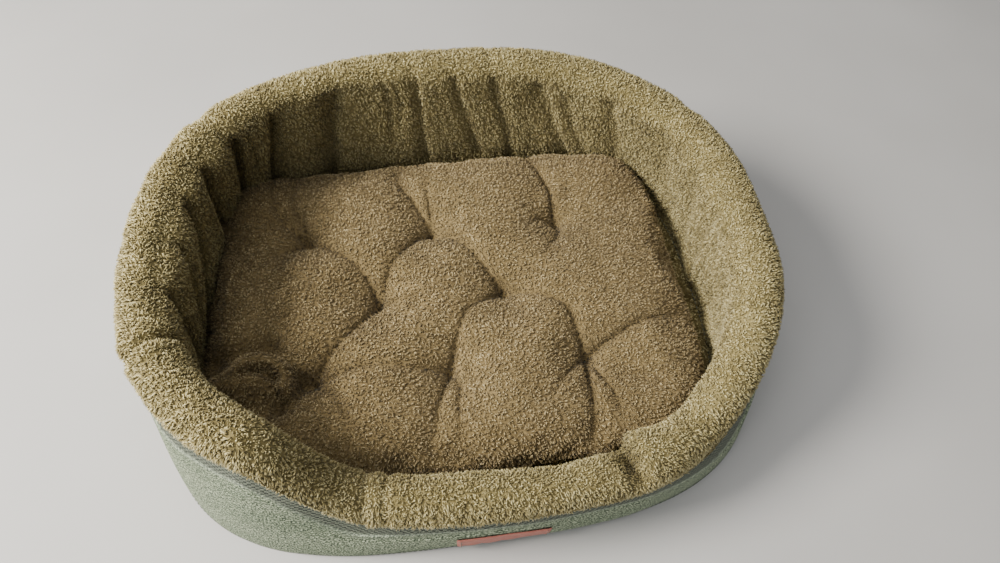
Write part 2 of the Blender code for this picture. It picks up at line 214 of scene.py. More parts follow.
# Folds of the fleece on the inside of the back wall: where each runs, as X at an upper height
# and X at a lower one, how deep it is, and how wide to its left and right.
BACK_FOLDS = (
    ((-0.059, 0.182), (-0.056, 0.100), 0.0040, 0.005, 0.004),
    ((-0.048, 0.175), (-0.047, 0.110), 0.0030, 0.003, 0.006),
    ((-0.024, 0.185), (-0.013, 0.050), 0.0060, 0.012, 0.003),
    ((0.020, 0.185), (0.050, 0.055), 0.0055, 0.010, 0.004),
    ((0.061, 0.205), (0.090, 0.040), 0.0050, 0.004, 0.009),
    ((0.122, 0.165), (0.166, 0.045), 0.0055, 0.012, 0.005),
    ((0.150, 0.150), (0.188, 0.050), 0.0035, 0.009, 0.005),
    ((0.200, 0.165), (0.222, 0.055), 0.0050, 0.010, 0.006),
)
# Deep tucks of the slack fleece round the back left corner and the left wall: the place on the
# rim over their upper end and its height, the same for the lower end, depth, and the widths on
# the side towards the back's middle and on the other one.
TUCKS = (
    (((-0.112, 0.228), 0.162), ((-0.093, 0.231), 0.045), 0.0105, 0.005, 0.020),
    (((-0.194, 0.197), 0.156), ((-0.189, 0.200), 0.050), 0.0120, 0.018, 0.005),
    (((-0.226, 0.173), 0.174), ((-0.220, 0.179), 0.140), 0.0050, 0.004, 0.003),
    (((-0.235, 0.165), 0.160), ((-0.231, 0.169), 0.055), 0.0150, 0.006, 0.013),
    (((-0.270, 0.116), 0.168), ((-0.271, 0.114), 0.055), 0.0130, 0.010, 0.012),
    (((-0.288, 0.062), 0.166), ((-0.293, 0.013), 0.060), 0.0150, 0.007, 0.014),
    (((-0.293, 0.010), 0.170), ((-0.293, -0.015), 0.060), 0.0090, 0.005, 0.009),
    (((-0.293, -0.045), 0.170), ((-0.292, -0.040), 0.060), 0.0110, 0.007, 0.011),
    (((-0.272, -0.100), 0.172), ((-0.262, -0.115), 0.070), 0.0080, 0.008, 0.010),
)
# Painted shade on the strands in the tucks and folds: the most darkening, and the depth that gives
# it all.
TUCK_SHADE = 0.50
TUCK_SHADE_DEPTH = 0.012
TUCK_FADE = 0.045
FOLD_FADE = 0.020
# How much of a fold and of a tuck runs on over the rim.
FOLD_OVER_RIM = 0.35
TUCK_OVER_RIM = 0.30
# Where the back wall and the right wall begin, for their folds.
BACK_Y = 0.10
RIGHT_X = 0.18
# How far the folds and the rim's creases stray from their lines.
FOLD_WIGGLE = 0.004
CREASE_WIGGLE = 0.002
WIGGLE_SIZE = 0.050
WIGGLE_SEED = 31
# Where the slack fleece bulges into the nest under its rim, how far and over what length.
SLOUCHES = (((-0.293, 0.020), 0.0130, 0.130), ((0.298, -0.020), 0.0060, 0.150))
SLOUCH_HEIGHT = 0.120

# Soft upright folds of the right wall: its Y in place of X.
RIGHT_FOLDS = (
    ((0.120, 0.150), (0.095, 0.040), 0.0035, 0.010, 0.018),
    ((0.060, 0.155), (0.050, 0.040), 0.0040, 0.014, 0.010),
    ((0.005, 0.150), (0.010, 0.045), 0.0035, 0.010, 0.016),
    ((-0.060, 0.140), (-0.045, 0.045), 0.0030, 0.016, 0.010),
)

# Creases across the rim: position on the plan, depth and width.
RIM_CREASES = (
    ((-0.271, -0.098), 0.0052, 0.0042),
    ((-0.108, -0.224), 0.0022, 0.0030),
    ((-0.092, -0.228), 0.0020, 0.0035),
    ((-0.235, 0.150), 0.0020, 0.0090),
    ((0.250, 0.120), 0.0015, 0.0100),
)
# Swellings beside each crease, as shares of its depth and width.
CREASE_BULGE = 0.4
CREASE_BULGE_AWAY = 2.4
CREASE_BULGE_WIDTH = 1.6
# Where the right side of the rim ends in a lip over the low front, with a hollow under it.
LIP_PLACE = (0.142, -0.219)
LIP_RISE = 0.0060
LIP_REACH = 0.085
LIP_FALL = 0.0060
LIP_FALL_REACH = 0.110
LIP_OVERHANG = 0.0080
LIP_OVERHANG_REACH = 0.030
LIP_STEP = 0.0040
LIP_START = (0.25, 0.35)
LIP_END = 0.30
HOLLOW_PLACE = (0.138, -0.227)
HOLLOW_DEPTH = 0.0190
HOLLOW_BEFORE = 0.0155
HOLLOW_AFTER = 0.0045
HOLLOW_ACROSS = 0.0225
# Painted shade: how much the strands in the hollow under the lip are darkened.
HOLLOW_SHADE = 0.88
HOLLOW_START = (0.05, 0.2)
HOLLOW_END = 1.1

# The loose cushion.
CUSHION_CENTRE = (-0.0125, 0.000)
CUSHION_HALF = (0.2695, 0.200)
CUSHION_SQUARENESS = 4.6
CUSHION_SEAM_Z = 0.043
CUSHION_RISE = 0.036
CUSHION_FLOOR = 0.0205
CUSHION_GRID = (64, 48)
CUSHION_SINK_IN = 0.003
# The wall's inside is looked up at these heights (lowest, highest and how many) and turns.
LIMIT_LEVELS = (0.010, 0.110, 11)
LIMIT_TURNS = 721
BEFORE_LAST = 1.001
CUSHION_GAP = 0.0008
# How far up the cushion's surface must face to be creased, and to be covered with pile.
CREASED_START = (0.1, 0.4)
COVERED_START = (-0.75, 0.5)
CUSHION_TOP_POWER = 6
CUSHION_BOTTOM_POWER = 10
CUSHION_ROUNDNESS = 2.2
CUSHION_RIM = 0.10
CUSHION_PUFF = 0.08
CUSHION_PUFF_SIZE = 0.110
UNDERSIDE_PIT = 0.006
# Power that brings the grid's rings closer together at the rounded edge.
RING_POWER = 0.85
CUSHION_LUMPS = 0.0009
CUSHION_LUMP_SIZE = 0.024
CUSHION_NUBS = 0.0004
CUSHION_NUB_SIZE = 0.0040
# Pile value of the backing: low, so that it takes the fleece's dark valley colour as painted shade
# under the strands.
CUSHION_TONE = (0.22, 0.10)
# Corners that ride up the wall: where, how high and how far the rise spreads.
RAISED_CORNERS = (((-0.245, 0.160), 0.022, 0.055), ((0.225, 0.165), 0.012, 0.050))

# The floor of the nest and the cloth under the bed.
FLOOR_GRID = (200, 150)
FLOOR_BACKING_DROP = 0.0015
# Waves of the floor's fleece: height, size and seed. The last are its nubs.
FLOOR_WAVES = ((0.0006, 0.060, 301), (0.0008, 0.0065, 311))
# Pile value of the backing: low, so that it takes the fleece's dark valley colour as painted shade
# under the strands.
FLOOR_TONE = (0.12, 0.10)
BASE_GRID = (110, 90)
BASE_WAVE = 0.0002
BASE_WAVE_SIZE = 0.050

TUFTS = {
    "T1": (-0.168, 0.087),
    "T2": (-0.022, 0.083),
    "T3": (0.126, 0.081),
    "T4": (-0.090, -0.007),
    "T5": (0.050, -0.008),
    "T6": (-0.163, -0.091),
    "T7": (-0.020, -0.097),
    "T8": (0.126, -0.098),
}
# Creases of the cushion's top, from tuft to tuft or from a tuft towards an edge, with depth.
CREASES = (
    (("T1", (-0.184, 0.105), (-0.203, 0.133), (-0.210, 0.180)), 0.0065),
    (("T1", (-0.172, 0.112), (-0.181, 0.140), (-0.181, 0.180)), 0.0055),
    (("T1", (-0.190, 0.107), (-0.220, 0.118), (-0.250, 0.122)), 0.0040),
    (("T1", (-0.190, 0.075), (-0.218, 0.065)), 0.0040),
    (("T1", (-0.148, 0.076), (-0.130, 0.058), (-0.110, 0.040), (-0.097, 0.017), "T4"), 0.0080),
    (("T2", (-0.038, 0.077), (-0.062, 0.050), (-0.076, 0.032), "T4"), 0.0070),
    (("T2", (-0.039, 0.125), (-0.057, 0.158), (-0.052, 0.188)), 0.0060),
    (("T2", (-0.023, 0.127), (-0.025, 0.170)), 0.0045),
    (("T2", (0.000, 0.070), (0.022, 0.041), "T5"), 0.0075),
    (("T3", (0.125, 0.129), (0.116, 0.166), (0.105, 0.190)), 0.0070),
    (("T3", (0.126, 0.060), (0.102, 0.029)), 0.0045),
    (("T3", (0.108, 0.086), (0.088, 0.070)), 0.0035),
    (("T4", (-0.114, -0.036), (-0.138, -0.062), "T6"), 0.0085),
    (("T4", (-0.062, -0.010), (-0.030, 0.000)), 0.0025),
    (("T5", (0.027, -0.018), (0.006, -0.032), (-0.008, -0.062), "T7"), 0.0065),
    (("T5", (0.075, -0.014), (0.100, -0.029), (0.117, -0.050), "T8"), 0.0065),
    (("T6", (-0.122, -0.089), (-0.088, -0.088), (-0.050, -0.093), "T7"), 0.0055),
    (("T6", (-0.140, -0.111), (-0.130, -0.137), (-0.128, -0.165)), 0.0050),
    (("T6", (-0.178, -0.108), (-0.186, -0.135)), 0.0050),
    (("T7", (-0.030, -0.120), (-0.037, -0.140), (-0.042, -0.170)), 0.0050),
    (("T7", (-0.012, -0.115), (-0.016, -0.141), (-0.018, -0.178)), 0.0045),
    (("T8", (0.150, -0.087), (0.178, -0.075), (0.206, -0.067), (0.248, -0.062)), 0.0070),
    (("T8", (0.122, -0.130), (0.119, -0.160), (0.113, -0.190)), 0.0070),
    (("T8", (0.142, -0.138), (0.145, -0.163), (0.147, -0.182)), 0.0050),
    (("T8", (0.108, -0.112), (0.089, -0.131), (0.078, -0.145)), 0.0040),
)
PIT_DEPTH_WIDE = 0.018
PIT_DEPTH_NARROW = 0.014
PIT_WIDE = 0.030
PIT_NARROW = 0.0070
CREASE_WIDE = 0.0150
CREASE_NARROW = 0.0028
CREASE_LINE = 0.0028
CREASE_WIDE_SHARE = 0.60
CREASE_NARROW_SHARE = 0.95
CREASE_WOBBLE = 0.0012
CREASE_WOBBLE_SIZE = 0.030
# A crease from tuft to tuft is this shallow halfway, and one that ends free fades by this share.
CREASE_HALFWAY = 0.6
CREASE_FADE = 0.75
# The pile in a crease: the depth that makes it darkest, how much shorter it gets, and how much
# darker as painted shade.
CREASE_FULL_DEPTH = 0.0035
CREASE_SHORTER = 0.65
CREASE_PAINTED_SHADE = 0.90
CURVE_CUTS = 5

# The cloth simulation that fills the cushion.
CLOTH_SETTINGS = {
    "quality": 6,
    "mass": 0.25,
    "tension_stiffness": 20,
    "compression_stiffness": 20,
    "shear_stiffness": 8,
    "bending_stiffness": 0.4,
    "vertex_group_mass": "held",
    "pin_stiffness": 1.0,
    "shrink_min": -0.03,
    "use_pressure": True,
    "uniform_pressure_force": 3.0,
}
CLOTH_FRAMES = 20
CLOTH_CAP = 0.006
# How firmly the cover is held at its tufts, along its creases and round its outline.
TUFT_HOLD = 1.4
TUFT_HOLD_REACH = 0.010
CREASE_HOLD = 0.5
CREASE_HOLD_WIDTH = 0.008
CREASE_HOLD_DEPTH = 0.008
OUTLINE_HOLD = 0.9

# The cushion's corner that has curled up against the wall: a raised pad whose rolled edge hooks
# round a slit, with a pit beside it.
CURL = ((-0.244, -0.084), (-0.232, -0.076), (-0.220, -0.071), (-0.208, -0.070), (-0.197, -0.074),
        (-0.188, -0.083), (-0.186, -0.093), (-0.190, -0.102), (-0.196, -0.107))
CURL_RADIUS = 0.0078
CURL_HEIGHT = 0.0195
CURL_PAD = ((-0.256, -0.094), (-0.213, -0.091))
CURL_PAD_RADIUS = 0.025
CURL_PAD_HEIGHT = 0.0170
CURL_SLIT = ((-0.219, -0.0795), (-0.199, -0.087))
CURL_SLIT_DEPTH = 0.0095
CURL_SLIT_WIDTH = 0.0026
CURL_DIPS = (((-0.175, -0.088), 0.014, 0.009), ((-0.196, -0.119), 0.014, 0.009),
             ((-0.258, -0.058), 0.014, 0.014), ((-0.205, -0.052), 0.011, 0.012),
             ((-0.232, -0.056), 0.011, 0.012))
# Painted shade on the strands in the curl's slit and the pits beside it.
CURL_SHADE = 0.6
CURL_TAPER = (0.25, 0.10)

# The tag.
LABEL_CENTRE = (0.013, 0.028)
LABEL_SIZE = (0.092, 0.028)
LABEL_GRID = (70, 24)
TAG_THICKNESS = 0.0012
TAG_STAND_OFF = 0.0022
TAG_WARP = 0.0009
TAG_WARP_SIZE = 0.018
TAG_GROOVE = 0.0007
TAG_GROOVE_WIDTH = 0.0018
TAG_ROUNDING = 0.0006
TAG_ROUNDING_WIDTH = 0.0012
# The warp dies away over this height towards the tag's upper and lower edge, down to this share.
TAG_CALM_HEIGHT = 0.003
TAG_CALM = 0.3
TAG_STITCH_INSET = 0.004
TAG_STITCH_STAND_OFF = 0.0034
TAG_STITCHES = 9
TAG_STITCH_MARGIN = 0.0015

# Stitches and seams.
STITCH_SIDES = 6
STITCH_RINGS = 5
TUFT_STITCH_ANGLES = (20, 110)
TUFT_STITCH_REACH = 0.004
TUFT_STITCH_RISE = 0.0010
TUFT_MOST_SUNK = 0.008
# Lengths and thicknesses of the stitches.
TUFT_STITCH = (0.006, 0.0007)
TAG_STITCH = (0.0021, 0.0004)
SEAM_STITCH = (0.0040, 0.00045)
FLOOR_STITCH = (0.0045, 0.0006)
SEAM_PITCH = 0.0052
FLOOR_PITCH = 0.0060
RIM_SEAM_DROP = 0.006
BASE_SEAM_Z = 0.0045
FLOOR_SEAM_RISE = 0.0012
STITCH_AHEAD = 0.001
RIM_SEAM_STAND_OFF = 0.0002
BASE_SEAM_STAND_OFF = 0.0001
FLOOR_SEAM_STAND_OFF = 0.0006

# Camera.
CAMERA_PLACE = (-0.0335, -0.4046, 0.7207)
CAMERA_RIGHT = (0.98881, -0.14611, 0.03025)
CAMERA_UP = (0.10728, 0.83709, 0.53644)
CAMERA_FORWARD = (0.10371, 0.52719, -0.84340)
CAMERA_LENS = 24.66
CAMERA_SENSOR = 36.0
CAMERA_CLIP = 0.01

# Studio: the floor's half width, and the lights as name, place, size, energy and colour.
STUDIO_HALF = 25.0
STUDIO_FLOOR_Z = -0.0002
LIGHT_TARGET = (0.0, 0.0, 0.05)
LIGHTS = (
    ("key", (-1.60, 0.00, 1.50), 0.9, 122, (1.0, 0.96, 0.89)),
    ("top", (-0.35, 0.05, 2.20), 1.6, 24, (1.0, 0.98, 0.94)),
    ("fill", (-1.3, -1.7, 1.0), 1.6, 24, (0.96, 0.98, 1.0)),
)
SKY = (0.90, 0.94, 1.0, 1.0)
SKY_STRENGTH = 0.30

# Factors of the lattice hash.
HASH_AXES = (0x8DA6B343, 0xD8163841, 0xCB1AB31F)
HASH_SEED = 0x165667B1
HASH_ROUNDS = ((15, 0x2C1B3C6D), (12, 0x297A2D39))
HASH_MASK = 0xFFFFFFFF


# ---------------------------------------------------------------- noise

def hashed(x, y, z, seed):
    """A repeatable number from 0 to 1 for each point of a whole-number lattice."""
    mixed = np.uint32((seed + 1) * HASH_SEED & HASH_MASK)
    for values, factor in zip((x, y, z), HASH_AXES):
        mixed = mixed ^ values.astype(np.uint32) * np.uint32(factor)
    for shift, factor in HASH_ROUNDS:
        mixed ^= mixed >> np.uint32(shift)
        mixed *= np.uint32(factor)
    mixed ^= mixed >> np.uint32(HASH_ROUNDS[0][0])
    return mixed.astype(np.float64) / 2**32


def noise(points, size, seed):
    """Smooth noise from -1 to 1 whose lumps are about as large as size."""
    grid = points / size
    corner = np.floor(grid)
    part = grid - corner
    part = part * part * (3 - 2 * part)
    corner = corner.astype(np.int32)
    total = np.zeros(points.shape[:-1])
    for step in itertools.product((0, 1), repeat=3):
        weight = np.ones(points.shape[:-1])
        for axis in range(3):
            weight *= part[..., axis] if step[axis] else 1 - part[..., axis]
        place = [corner[..., axis] + step[axis] for axis in range(3)]
        total += weight * hashed(*place, seed)
    return 2 * total - 1


def cloth_noise(around, up, layer, seed):
    """Noise over a cloth's own two directions, both counted in lumps."""
    return noise(np.stack(np.broadcast_arrays(around, up, float(layer)), axis=-1), 1.0, seed)


def smooth_step(value):
    value = np.clip(value, 0.0, 1.0)
    return value * value * (3 - 2 * value)


def rising(value, start, length):
    """From 0 where value is start to 1 where it is length further on."""
    return smooth_step((value - start) / length)


def bell(distance, width):
    return np.exp(-((distance / width) ** 2))


# ---------------------------------------------------------------- meshes

def add_mesh(name, points, faces, material, smooth=True):
    """A mesh object from an array of points and an array of faces that all have as many corners."""
    faces = np.asarray(faces, np.int32)
    mesh = bpy.data.meshes.new(name)
    mesh.vertices.add(len(points))
    mesh.vertices.foreach_set("co", np.asarray(points, np.float32).ravel())
    mesh.loops.add(faces.size)
    mesh.loops.foreach_set("vertex_index", faces.ravel())
    mesh.polygons.add(len(faces))
    mesh.polygons.foreach_set("loop_start", np.arange(len(faces), dtype=np.int32) * faces.shape[1])
    mesh.update(calc_edges=True)
    mesh.validate()
    if smooth:
        mesh.shade_smooth()
    mesh.materials.append(material)
    obj = bpy.data.objects.new(name, mesh)
    bpy.context.scene.collection.objects.link(obj)
    return obj


def grid_faces(rows, columns, wrap, wrap_rows=False):
    """Quads of a grid whose last column joins its first if wrap is set, and the same for rows."""
    row, column = np.meshgrid(np.arange(rows if wrap_rows else rows - 1),
                              np.arange(columns if wrap else columns - 1), indexing="ij")
    after = (column + 1) % columns
    here = row * columns
    above = (row + 1) % rows * columns
    quads = [here + column, here + after, above + after, above + column]
    return np.stack(quads, axis=-1).reshape(-1, 4)


def grid_normals(grid):
    """Outward unit normals of a grid of points whose columns go round."""
    along = np.roll(grid, -1, axis=1) - np.roll(grid, 1, axis=1)
    return unit(np.cross(along, np.gradient(grid, axis=0)))


def unit(vectors):
    return vectors / np.maximum(np.linalg.norm(vectors, axis=-1, keepdims=True), 1e-12)


def set_attribute(obj, name, values):
    attribute = obj.data.attributes.new(name, "FLOAT", "POINT")
    attribute.data.foreach_set("value", np.asarray(values, np.float32).ravel())


def set_uv(obj, grid_uv):
    """Gives a grid mesh UVs, in metres, from the value at each point."""
    layer = obj.data.uv_layers.new(name="UVMap")
    corners = np.empty(len(obj.data.loops), np.int32)
    obj.data.loops.foreach_get("vertex_index", corners)
    layer.data.foreach_set("uv", grid_uv.reshape(-1, 2)[corners].astype(np.float32).ravel())


def points_of(obj):
    flat = np.empty(len(obj.data.vertices) * 3, np.float32)
    obj.data.vertices.foreach_get("co", flat)
    return flat.reshape(-1, 3).astype(np.float64)


def normals_of(obj):
    flat = np.empty(len(obj.data.vertices) * 3, np.float32)
    obj.data.vertex_normals.foreach_get("vector", flat)
    return flat.reshape(-1, 3).astype(np.float64)


def quads_of(obj):
    flat = np.empty(len(obj.data.loops), np.int32)
    obj.data.loops.foreach_get("vertex_index", flat)
    return flat.reshape(-1, 4)


def move_points(obj, points):
    obj.data.vertices.foreach_set("co", np.asarray(points, np.float32).ravel())
    obj.data.update()


# ---------------------------------------------------------------- materials

class Nodes:
    """A material's node tree, with short ways to add and join nodes."""

    def __init__(self, name):
        self.material = bpy.data.materials.new(name)
        self.material.use_nodes = True
        self.tree = self.material.node_tree
        self.shader = self.tree.nodes["Principled BSDF"]

    def add(self, kind, **settings):
        node = self.tree.nodes.new(kind)
        for name, value in settings.items():
            setattr(node, name, value)
        return node

    def join(self, source, target):
        self.tree.links.new(source, target)

    def value(self, source, socket):
        """Sets a socket to a number, or joins it to another node's output."""
        if isinstance(source, bpy.types.NodeSocket):
            self.join(source, socket)
        else:
            socket.default_value = source

    def math(self, operation, first, second=0.0):
        node = self.add("ShaderNodeMath", operation=operation)
        self.value(first, node.inputs[0])
        self.value(second, node.inputs[1])
        return node.outputs[0]

    def coordinates(self, scale=(1.0, 1.0, 1.0), output="Object"):
        mapping = self.add("ShaderNodeMapping")
        mapping.inputs["Scale"].default_value = scale
        self.join(self.add("ShaderNodeTexCoord").outputs[output], mapping.inputs["Vector"])
        return mapping.outputs["Vector"]

    def noise(self, size, vector=None, detail=2.0, distortion=0.0):
        """Noise whose lumps measure about size metres."""
        node = self.add("ShaderNodeTexNoise")
        node.inputs["Scale"].default_value = 1 / size
        node.inputs["Detail"].default_value = detail
        node.inputs["Distortion"].default_value = distortion
        self.join(vector or self.coordinates(), node.inputs["Vector"])
        return node.outputs["Fac"]

    def ramp(self, source, stops):
        """Colours along a ramp: stops are (place, colour)."""
        node = self.add("ShaderNodeValToRGB")
        elements = node.color_ramp.elements
        while len(elements) < len(stops):
            elements.new(0.5)
        for element, (place, colour) in zip(elements, stops):
            element.position = place
            element.color = (*colour, 1.0)
        self.join(source, node.inputs["Fac"])
        return node.outputs["Color"]

    def mix(self, amount, first, second, blend="MIX"):
        node = self.add("ShaderNodeMix", data_type="RGBA", blend_type=blend)
        self.value(amount, node.inputs[0])
        for source, socket in ((first, node.inputs[6]), (second, node.inputs[7])):
            self.value((*source, 1.0) if isinstance(source, tuple) else source, socket)
        return node.outputs[2]

    def bump(self, height, distance, strength=1.0):
        node = self.add("ShaderNodeBump")
        node.inputs["Strength"].default_value = strength
        node.inputs["Distance"].default_value = distance
        self.join(height, node.inputs["Height"])
        self.join(node.outputs["Normal"], self.shader.inputs["Normal"])

    def attribute(self, name):
        return self.add("ShaderNodeAttribute", attribute_name=name).outputs["Fac"]

    def finish(self, colour, roughness, sheen=0.0, specular=0.5):
        self.join(colour, self.shader.inputs["Base Color"])
        self.shader.inputs["Roughness"].default_value = roughness
        self.shader.inputs["Sheen Weight"].default_value = sheen
        self.shader.inputs["Specular IOR Level"].default_value = specular
        return self.material


def fleece(name, valley, middle, tip):
    """Curly pile: painted shade between the nubs, pale at their tips, strands and faint patches."""
    nodes = Nodes(name)
    pile = nodes.attribute("pile")
    strands = nodes.noise(0.0016, detail=3.0, distortion=0.6)
    strands = nodes.math("MULTIPLY", nodes.math("SUBTRACT", strands, 0.5), 0.30)
    height = nodes.math("ADD", pile, strands)
    colour = nodes.ramp(height, ((0.05, valley), (0.45, middle), (0.92, tip)))
    patches = nodes.noise(0.040, detail=3.0)
    shade = nodes.ramp(patches, ((0.30, (0.78, 0.77, 0.74)), (0.70, (1.0, 1.0, 1.0))))
    colour = nodes.mix(1.0, colour, shade, "MULTIPLY")
    nodes.bump(nodes.noise(0.0013, detail=2.0, distortion=0.8), 0.0010, 0.7)
    return nodes.finish(colour, roughness=0.95, sheen=0.12, specular=0.12)


def woven_cloth(name):
    """Heathered plain weave: pale and dark yarns, a coarser dotted band under the rim seam."""
    nodes = Nodes(name)
    along = nodes.coordinates(output="UV")
    streaks = nodes.noise(0.0015, nodes.coordinates((0.22, 1.0, 1.0), "UV"), detail=2.0)
    specks = nodes.noise(0.0014, nodes.coordinates((0.85, 0.75, 1.0), "UV"), detail=1.0)
    heather = nodes.math("ADD", nodes.math("MULTIPLY", streaks, 0.30),
                         nodes.math("MULTIPLY", specks, 0.70))
    yarns = nodes.ramp(heather, ((0.38, (0.014, 0.022, 0.013)), (0.46, (0.080, 0.104, 0.062)),
                                 (0.53, (0.205, 0.245, 0.152)), (0.62, (0.53, 0.58, 0.40))))
    drift = nodes.noise(0.030, nodes.coordinates((0.25, 1.0, 1.0), "UV"), detail=3.0)
    shade = nodes.ramp(drift, ((0.35, (0.80, 0.83, 0.80)), (0.65, (1.0, 1.0, 1.0))))
    colour = nodes.mix(1.0, yarns, shade, "MULTIPLY")
    # The dotted band under the rim: a dotted weave, painted dark as the rim's shadow.
    dots = nodes.add("ShaderNodeTexChecker")
    dots.inputs["Scale"].default_value = 1 / DOT_PITCH
    dots.inputs["Color1"].default_value = (0.005, 0.006, 0.005, 1.0)
    dots.inputs["Color2"].default_value = (0.120, 0.132, 0.100, 1.0)
    nodes.join(along, dots.inputs["Vector"])
    shadowed_dots = nodes.mix(nodes.math("MULTIPLY", specks, 0.3), dots.outputs["Color"], yarns)
    colour = nodes.mix(nodes.attribute("band"), colour, shadowed_dots)
    colour = nodes.mix(nodes.attribute("seam"), colour, (0.42, 0.46, 0.38))
    threads = []
    for direction in ("X", "Y"):
        wave = nodes.add("ShaderNodeTexWave", bands_direction=direction)
        wave.inputs["Scale"].default_value = 2 * math.pi / (WAVES_PER_SCALE * YARN_PITCH)
        wave.inputs["Distortion"].default_value = 0.6
        wave.inputs["Detail Scale"].default_value = 2.0
        nodes.join(along, wave.inputs["Vector"])
        threads.append(wave.outputs["Fac"])
    weave = nodes.math("ADD", nodes.math("MULTIPLY", *threads), heather)
    nodes.bump(weave, 0.0004, 0.6)
    return nodes.finish(colour, roughness=0.88, sheen=0.04, specular=0.20)


def grained(name, low, high, size, roughness, sheen=0.0, bump=0.0003):
    """A plain mottled material for tag, thread and base."""
    nodes = Nodes(name)
    grain = nodes.noise(size, detail=3.0)
    colour = nodes.ramp(grain, ((0.30, low), (0.70, high)))
    nodes.bump(nodes.noise(size / 2, detail=2.0), bump)
    return nodes.finish(colour, roughness=roughness, sheen=sheen)


# ---------------------------------------------------------------- the wall

def superellipse(half, squareness, angles):
    cosine = np.cos(angles)
    sine = np.sin(angles)
    x = half[0] * np.sign(cosine) * np.abs(cosine) ** (2 / squareness)
    y = half[1] * np.sign(sine) * np.abs(sine) ** (2 / squareness)
    return np.stack([x, y], axis=1)


def even_angles(half, squareness, count):
    """Angles whose points lie at equal distances round a superellipse."""
    fine = np.linspace(0.0, 2 * math.pi, FINE_STEPS + 1)
    steps = np.diff(superellipse(half, squareness, fine), axis=0)
    travelled = np.concatenate([[0.0], np.cumsum(np.hypot(steps[:, 0], steps[:, 1]))])
    return np.interp(np.arange(count) / count * travelled[-1], travelled, fine)


def outward_normals(loop):
    along = np.roll(loop, -1, axis=0) - np.roll(loop, 1, axis=0)
    return unit(np.stack([along[:, 1], -along[:, 0]], axis=1))


class Wall:
    """The CAD wall's outer, inner and rolled rim surfaces at as many stations as are asked for."""

    def __init__(self, stations):
        angles = even_angles(FOOT_HALF, FOOT_SQUARENESS, stations)
        self.foot = superellipse(FOOT_HALF, FOOT_SQUARENESS, angles)
        self.foot_normal = outward_normals(self.foot)
        turn = np.array([[math.cos(RIM_TWIST), math.sin(RIM_TWIST)],
                         [-math.sin(RIM_TWIST), math.cos(RIM_TWIST)]])
        self.rim = superellipse(RIM_HALF, RIM_SQUARENESS, angles) @ turn + RIM_SHIFT
        self.rim_normal = outward_normals(self.rim)
        steps = np.roll(self.rim, -1, axis=0) - self.rim
        self.travelled = np.concatenate([[0.0], np.cumsum(np.hypot(*steps.T))])[:-1]
        self.length = np.hypot(*steps.T).sum()
        swell = bell(self.away_from(SWELL_PLACE), SWELL_REACH)
        self.rim = self.rim + self.rim_normal * (SWELL * swell)[:, None]
        self.crest = self.crest_heights(np.sin(angles))
        self.roll_z = self.crest - RIM_RADIUS
        self.plush_edge = self.crest - PLUSH_DROP - HEM_SAG * swell

    def crest_heights(self, sine):
        x = self.rim[:, 0]
        side = HEIGHT_LEFT + (HEIGHT_RIGHT - HEIGHT_LEFT) * smooth_step((x / RIM_HALF[0] + 1) / 2)
        back_share = np.clip(sine, 0.0, 1.0) ** 2
        height = HEIGHT_BACK * back_share + side * (1 - back_share)
        rise_left = smooth_step((x - ENTRY_LEFT + ENTRY_SLOPE) / ENTRY_SLOPE)
        rise_right = smooth_step((ENTRY_RIGHT + ENTRY_SLOPE - x) / ENTRY_SLOPE)
        entry = rise_left * rise_right * (sine < 0)
        return height + (HEIGHT_ENTRY - height) * entry

    def outer(self, z, depth):
        share = (z / self.roll_z)[:, None]
        low = self.foot - self.foot_normal * depth
        high = self.rim + self.rim_normal * (RIM_RADIUS - depth)
        bulge = self.rim_normal * WALL_BULGE * np.sin(math.pi * share)
        return self.lift(low + (high - low) * share + bulge, z)

    def inner(self, z, depth):
        share = (z / self.roll_z)[:, None]
        low = self.foot - self.foot_normal * (FOOT_THICKNESS - depth)
        high = self.rim - self.rim_normal * (RIM_RADIUS - depth)
        return self.lift(low + (high - low) * share, z)

    def over(self, angle):
        plan = self.rim + self.rim_normal * (RIM_RADIUS * math.cos(angle))
        return self.lift(plan, self.roll_z + RIM_RADIUS * math.sin(angle))

    def lift(self, plan, z):
        return np.column_stack([plan, np.broadcast_to(z, len(plan))])

    def heights(self, low, high, count, ends=True):
        """Heights from low to high for every station."""
        low = np.broadcast_to(low, len(self.rim)).astype(float)
        last = count - 1 if ends else count
        return [low + (high - low) * step / last for step in range(count)]

    def station(self, place):
        """How far round the rim the station nearest to a place lies."""
        return self.travelled[np.argmin(np.hypot(*(self.rim - place).T))]

    def away_from(self, place):
        """Signed distance of every station along the rim from the one nearest to a place."""
        gap = self.travelled - self.station(place)
        return (gap + self.length / 2) % self.length - self.length / 2


def plush_section(wall):
    """The wall's whole section: its core under the skirt, then the fleece from its turned-in hem
    up the outside, over the roll and down the inside."""
    core = [wall.outer(z, CORE_DEPTH)
            for z in wall.heights(CORE_FOOT, wall.plush_edge - CORE_TOP_DROP, CORE_ROWS)]
    hem = [wall.outer(wall.plush_edge + rise, depth) for rise, depth in HEM_LINES]
    heights = wall.heights(wall.plush_edge, wall.roll_z, EDGE_ROWS, False)
    edge = [wall.outer(z, 0.0) for z in heights]
    roll = [wall.over(math.pi * step / ROLL_ROWS) for step in range(ROLL_ROWS)]
    heights = wall.heights(wall.roll_z, INNER_FOOT, INNER_ROWS)
    inner = [wall.inner(z, 0.0) for z in heights]
    return np.array(core + hem + edge + roll + inner)


def fold(along, height, line, fade=FOLD_FADE):
    """Depth of one fold: sharp or soft on each side of its line, fading out past its two ends."""
    (top, top_z), (low, low_z), depth, before, after = line
    share = (height - low_z) / (top_z - low_z)
    gap = along - (low + (top - low) * share)
    profile = np.where(gap < 0, bell(gap, before), bell(gap, after))
    ends = smooth_step((height - low_z + fade) / fade) * smooth_step((top_z + fade - height) / fade)
    return depth * profile * ends


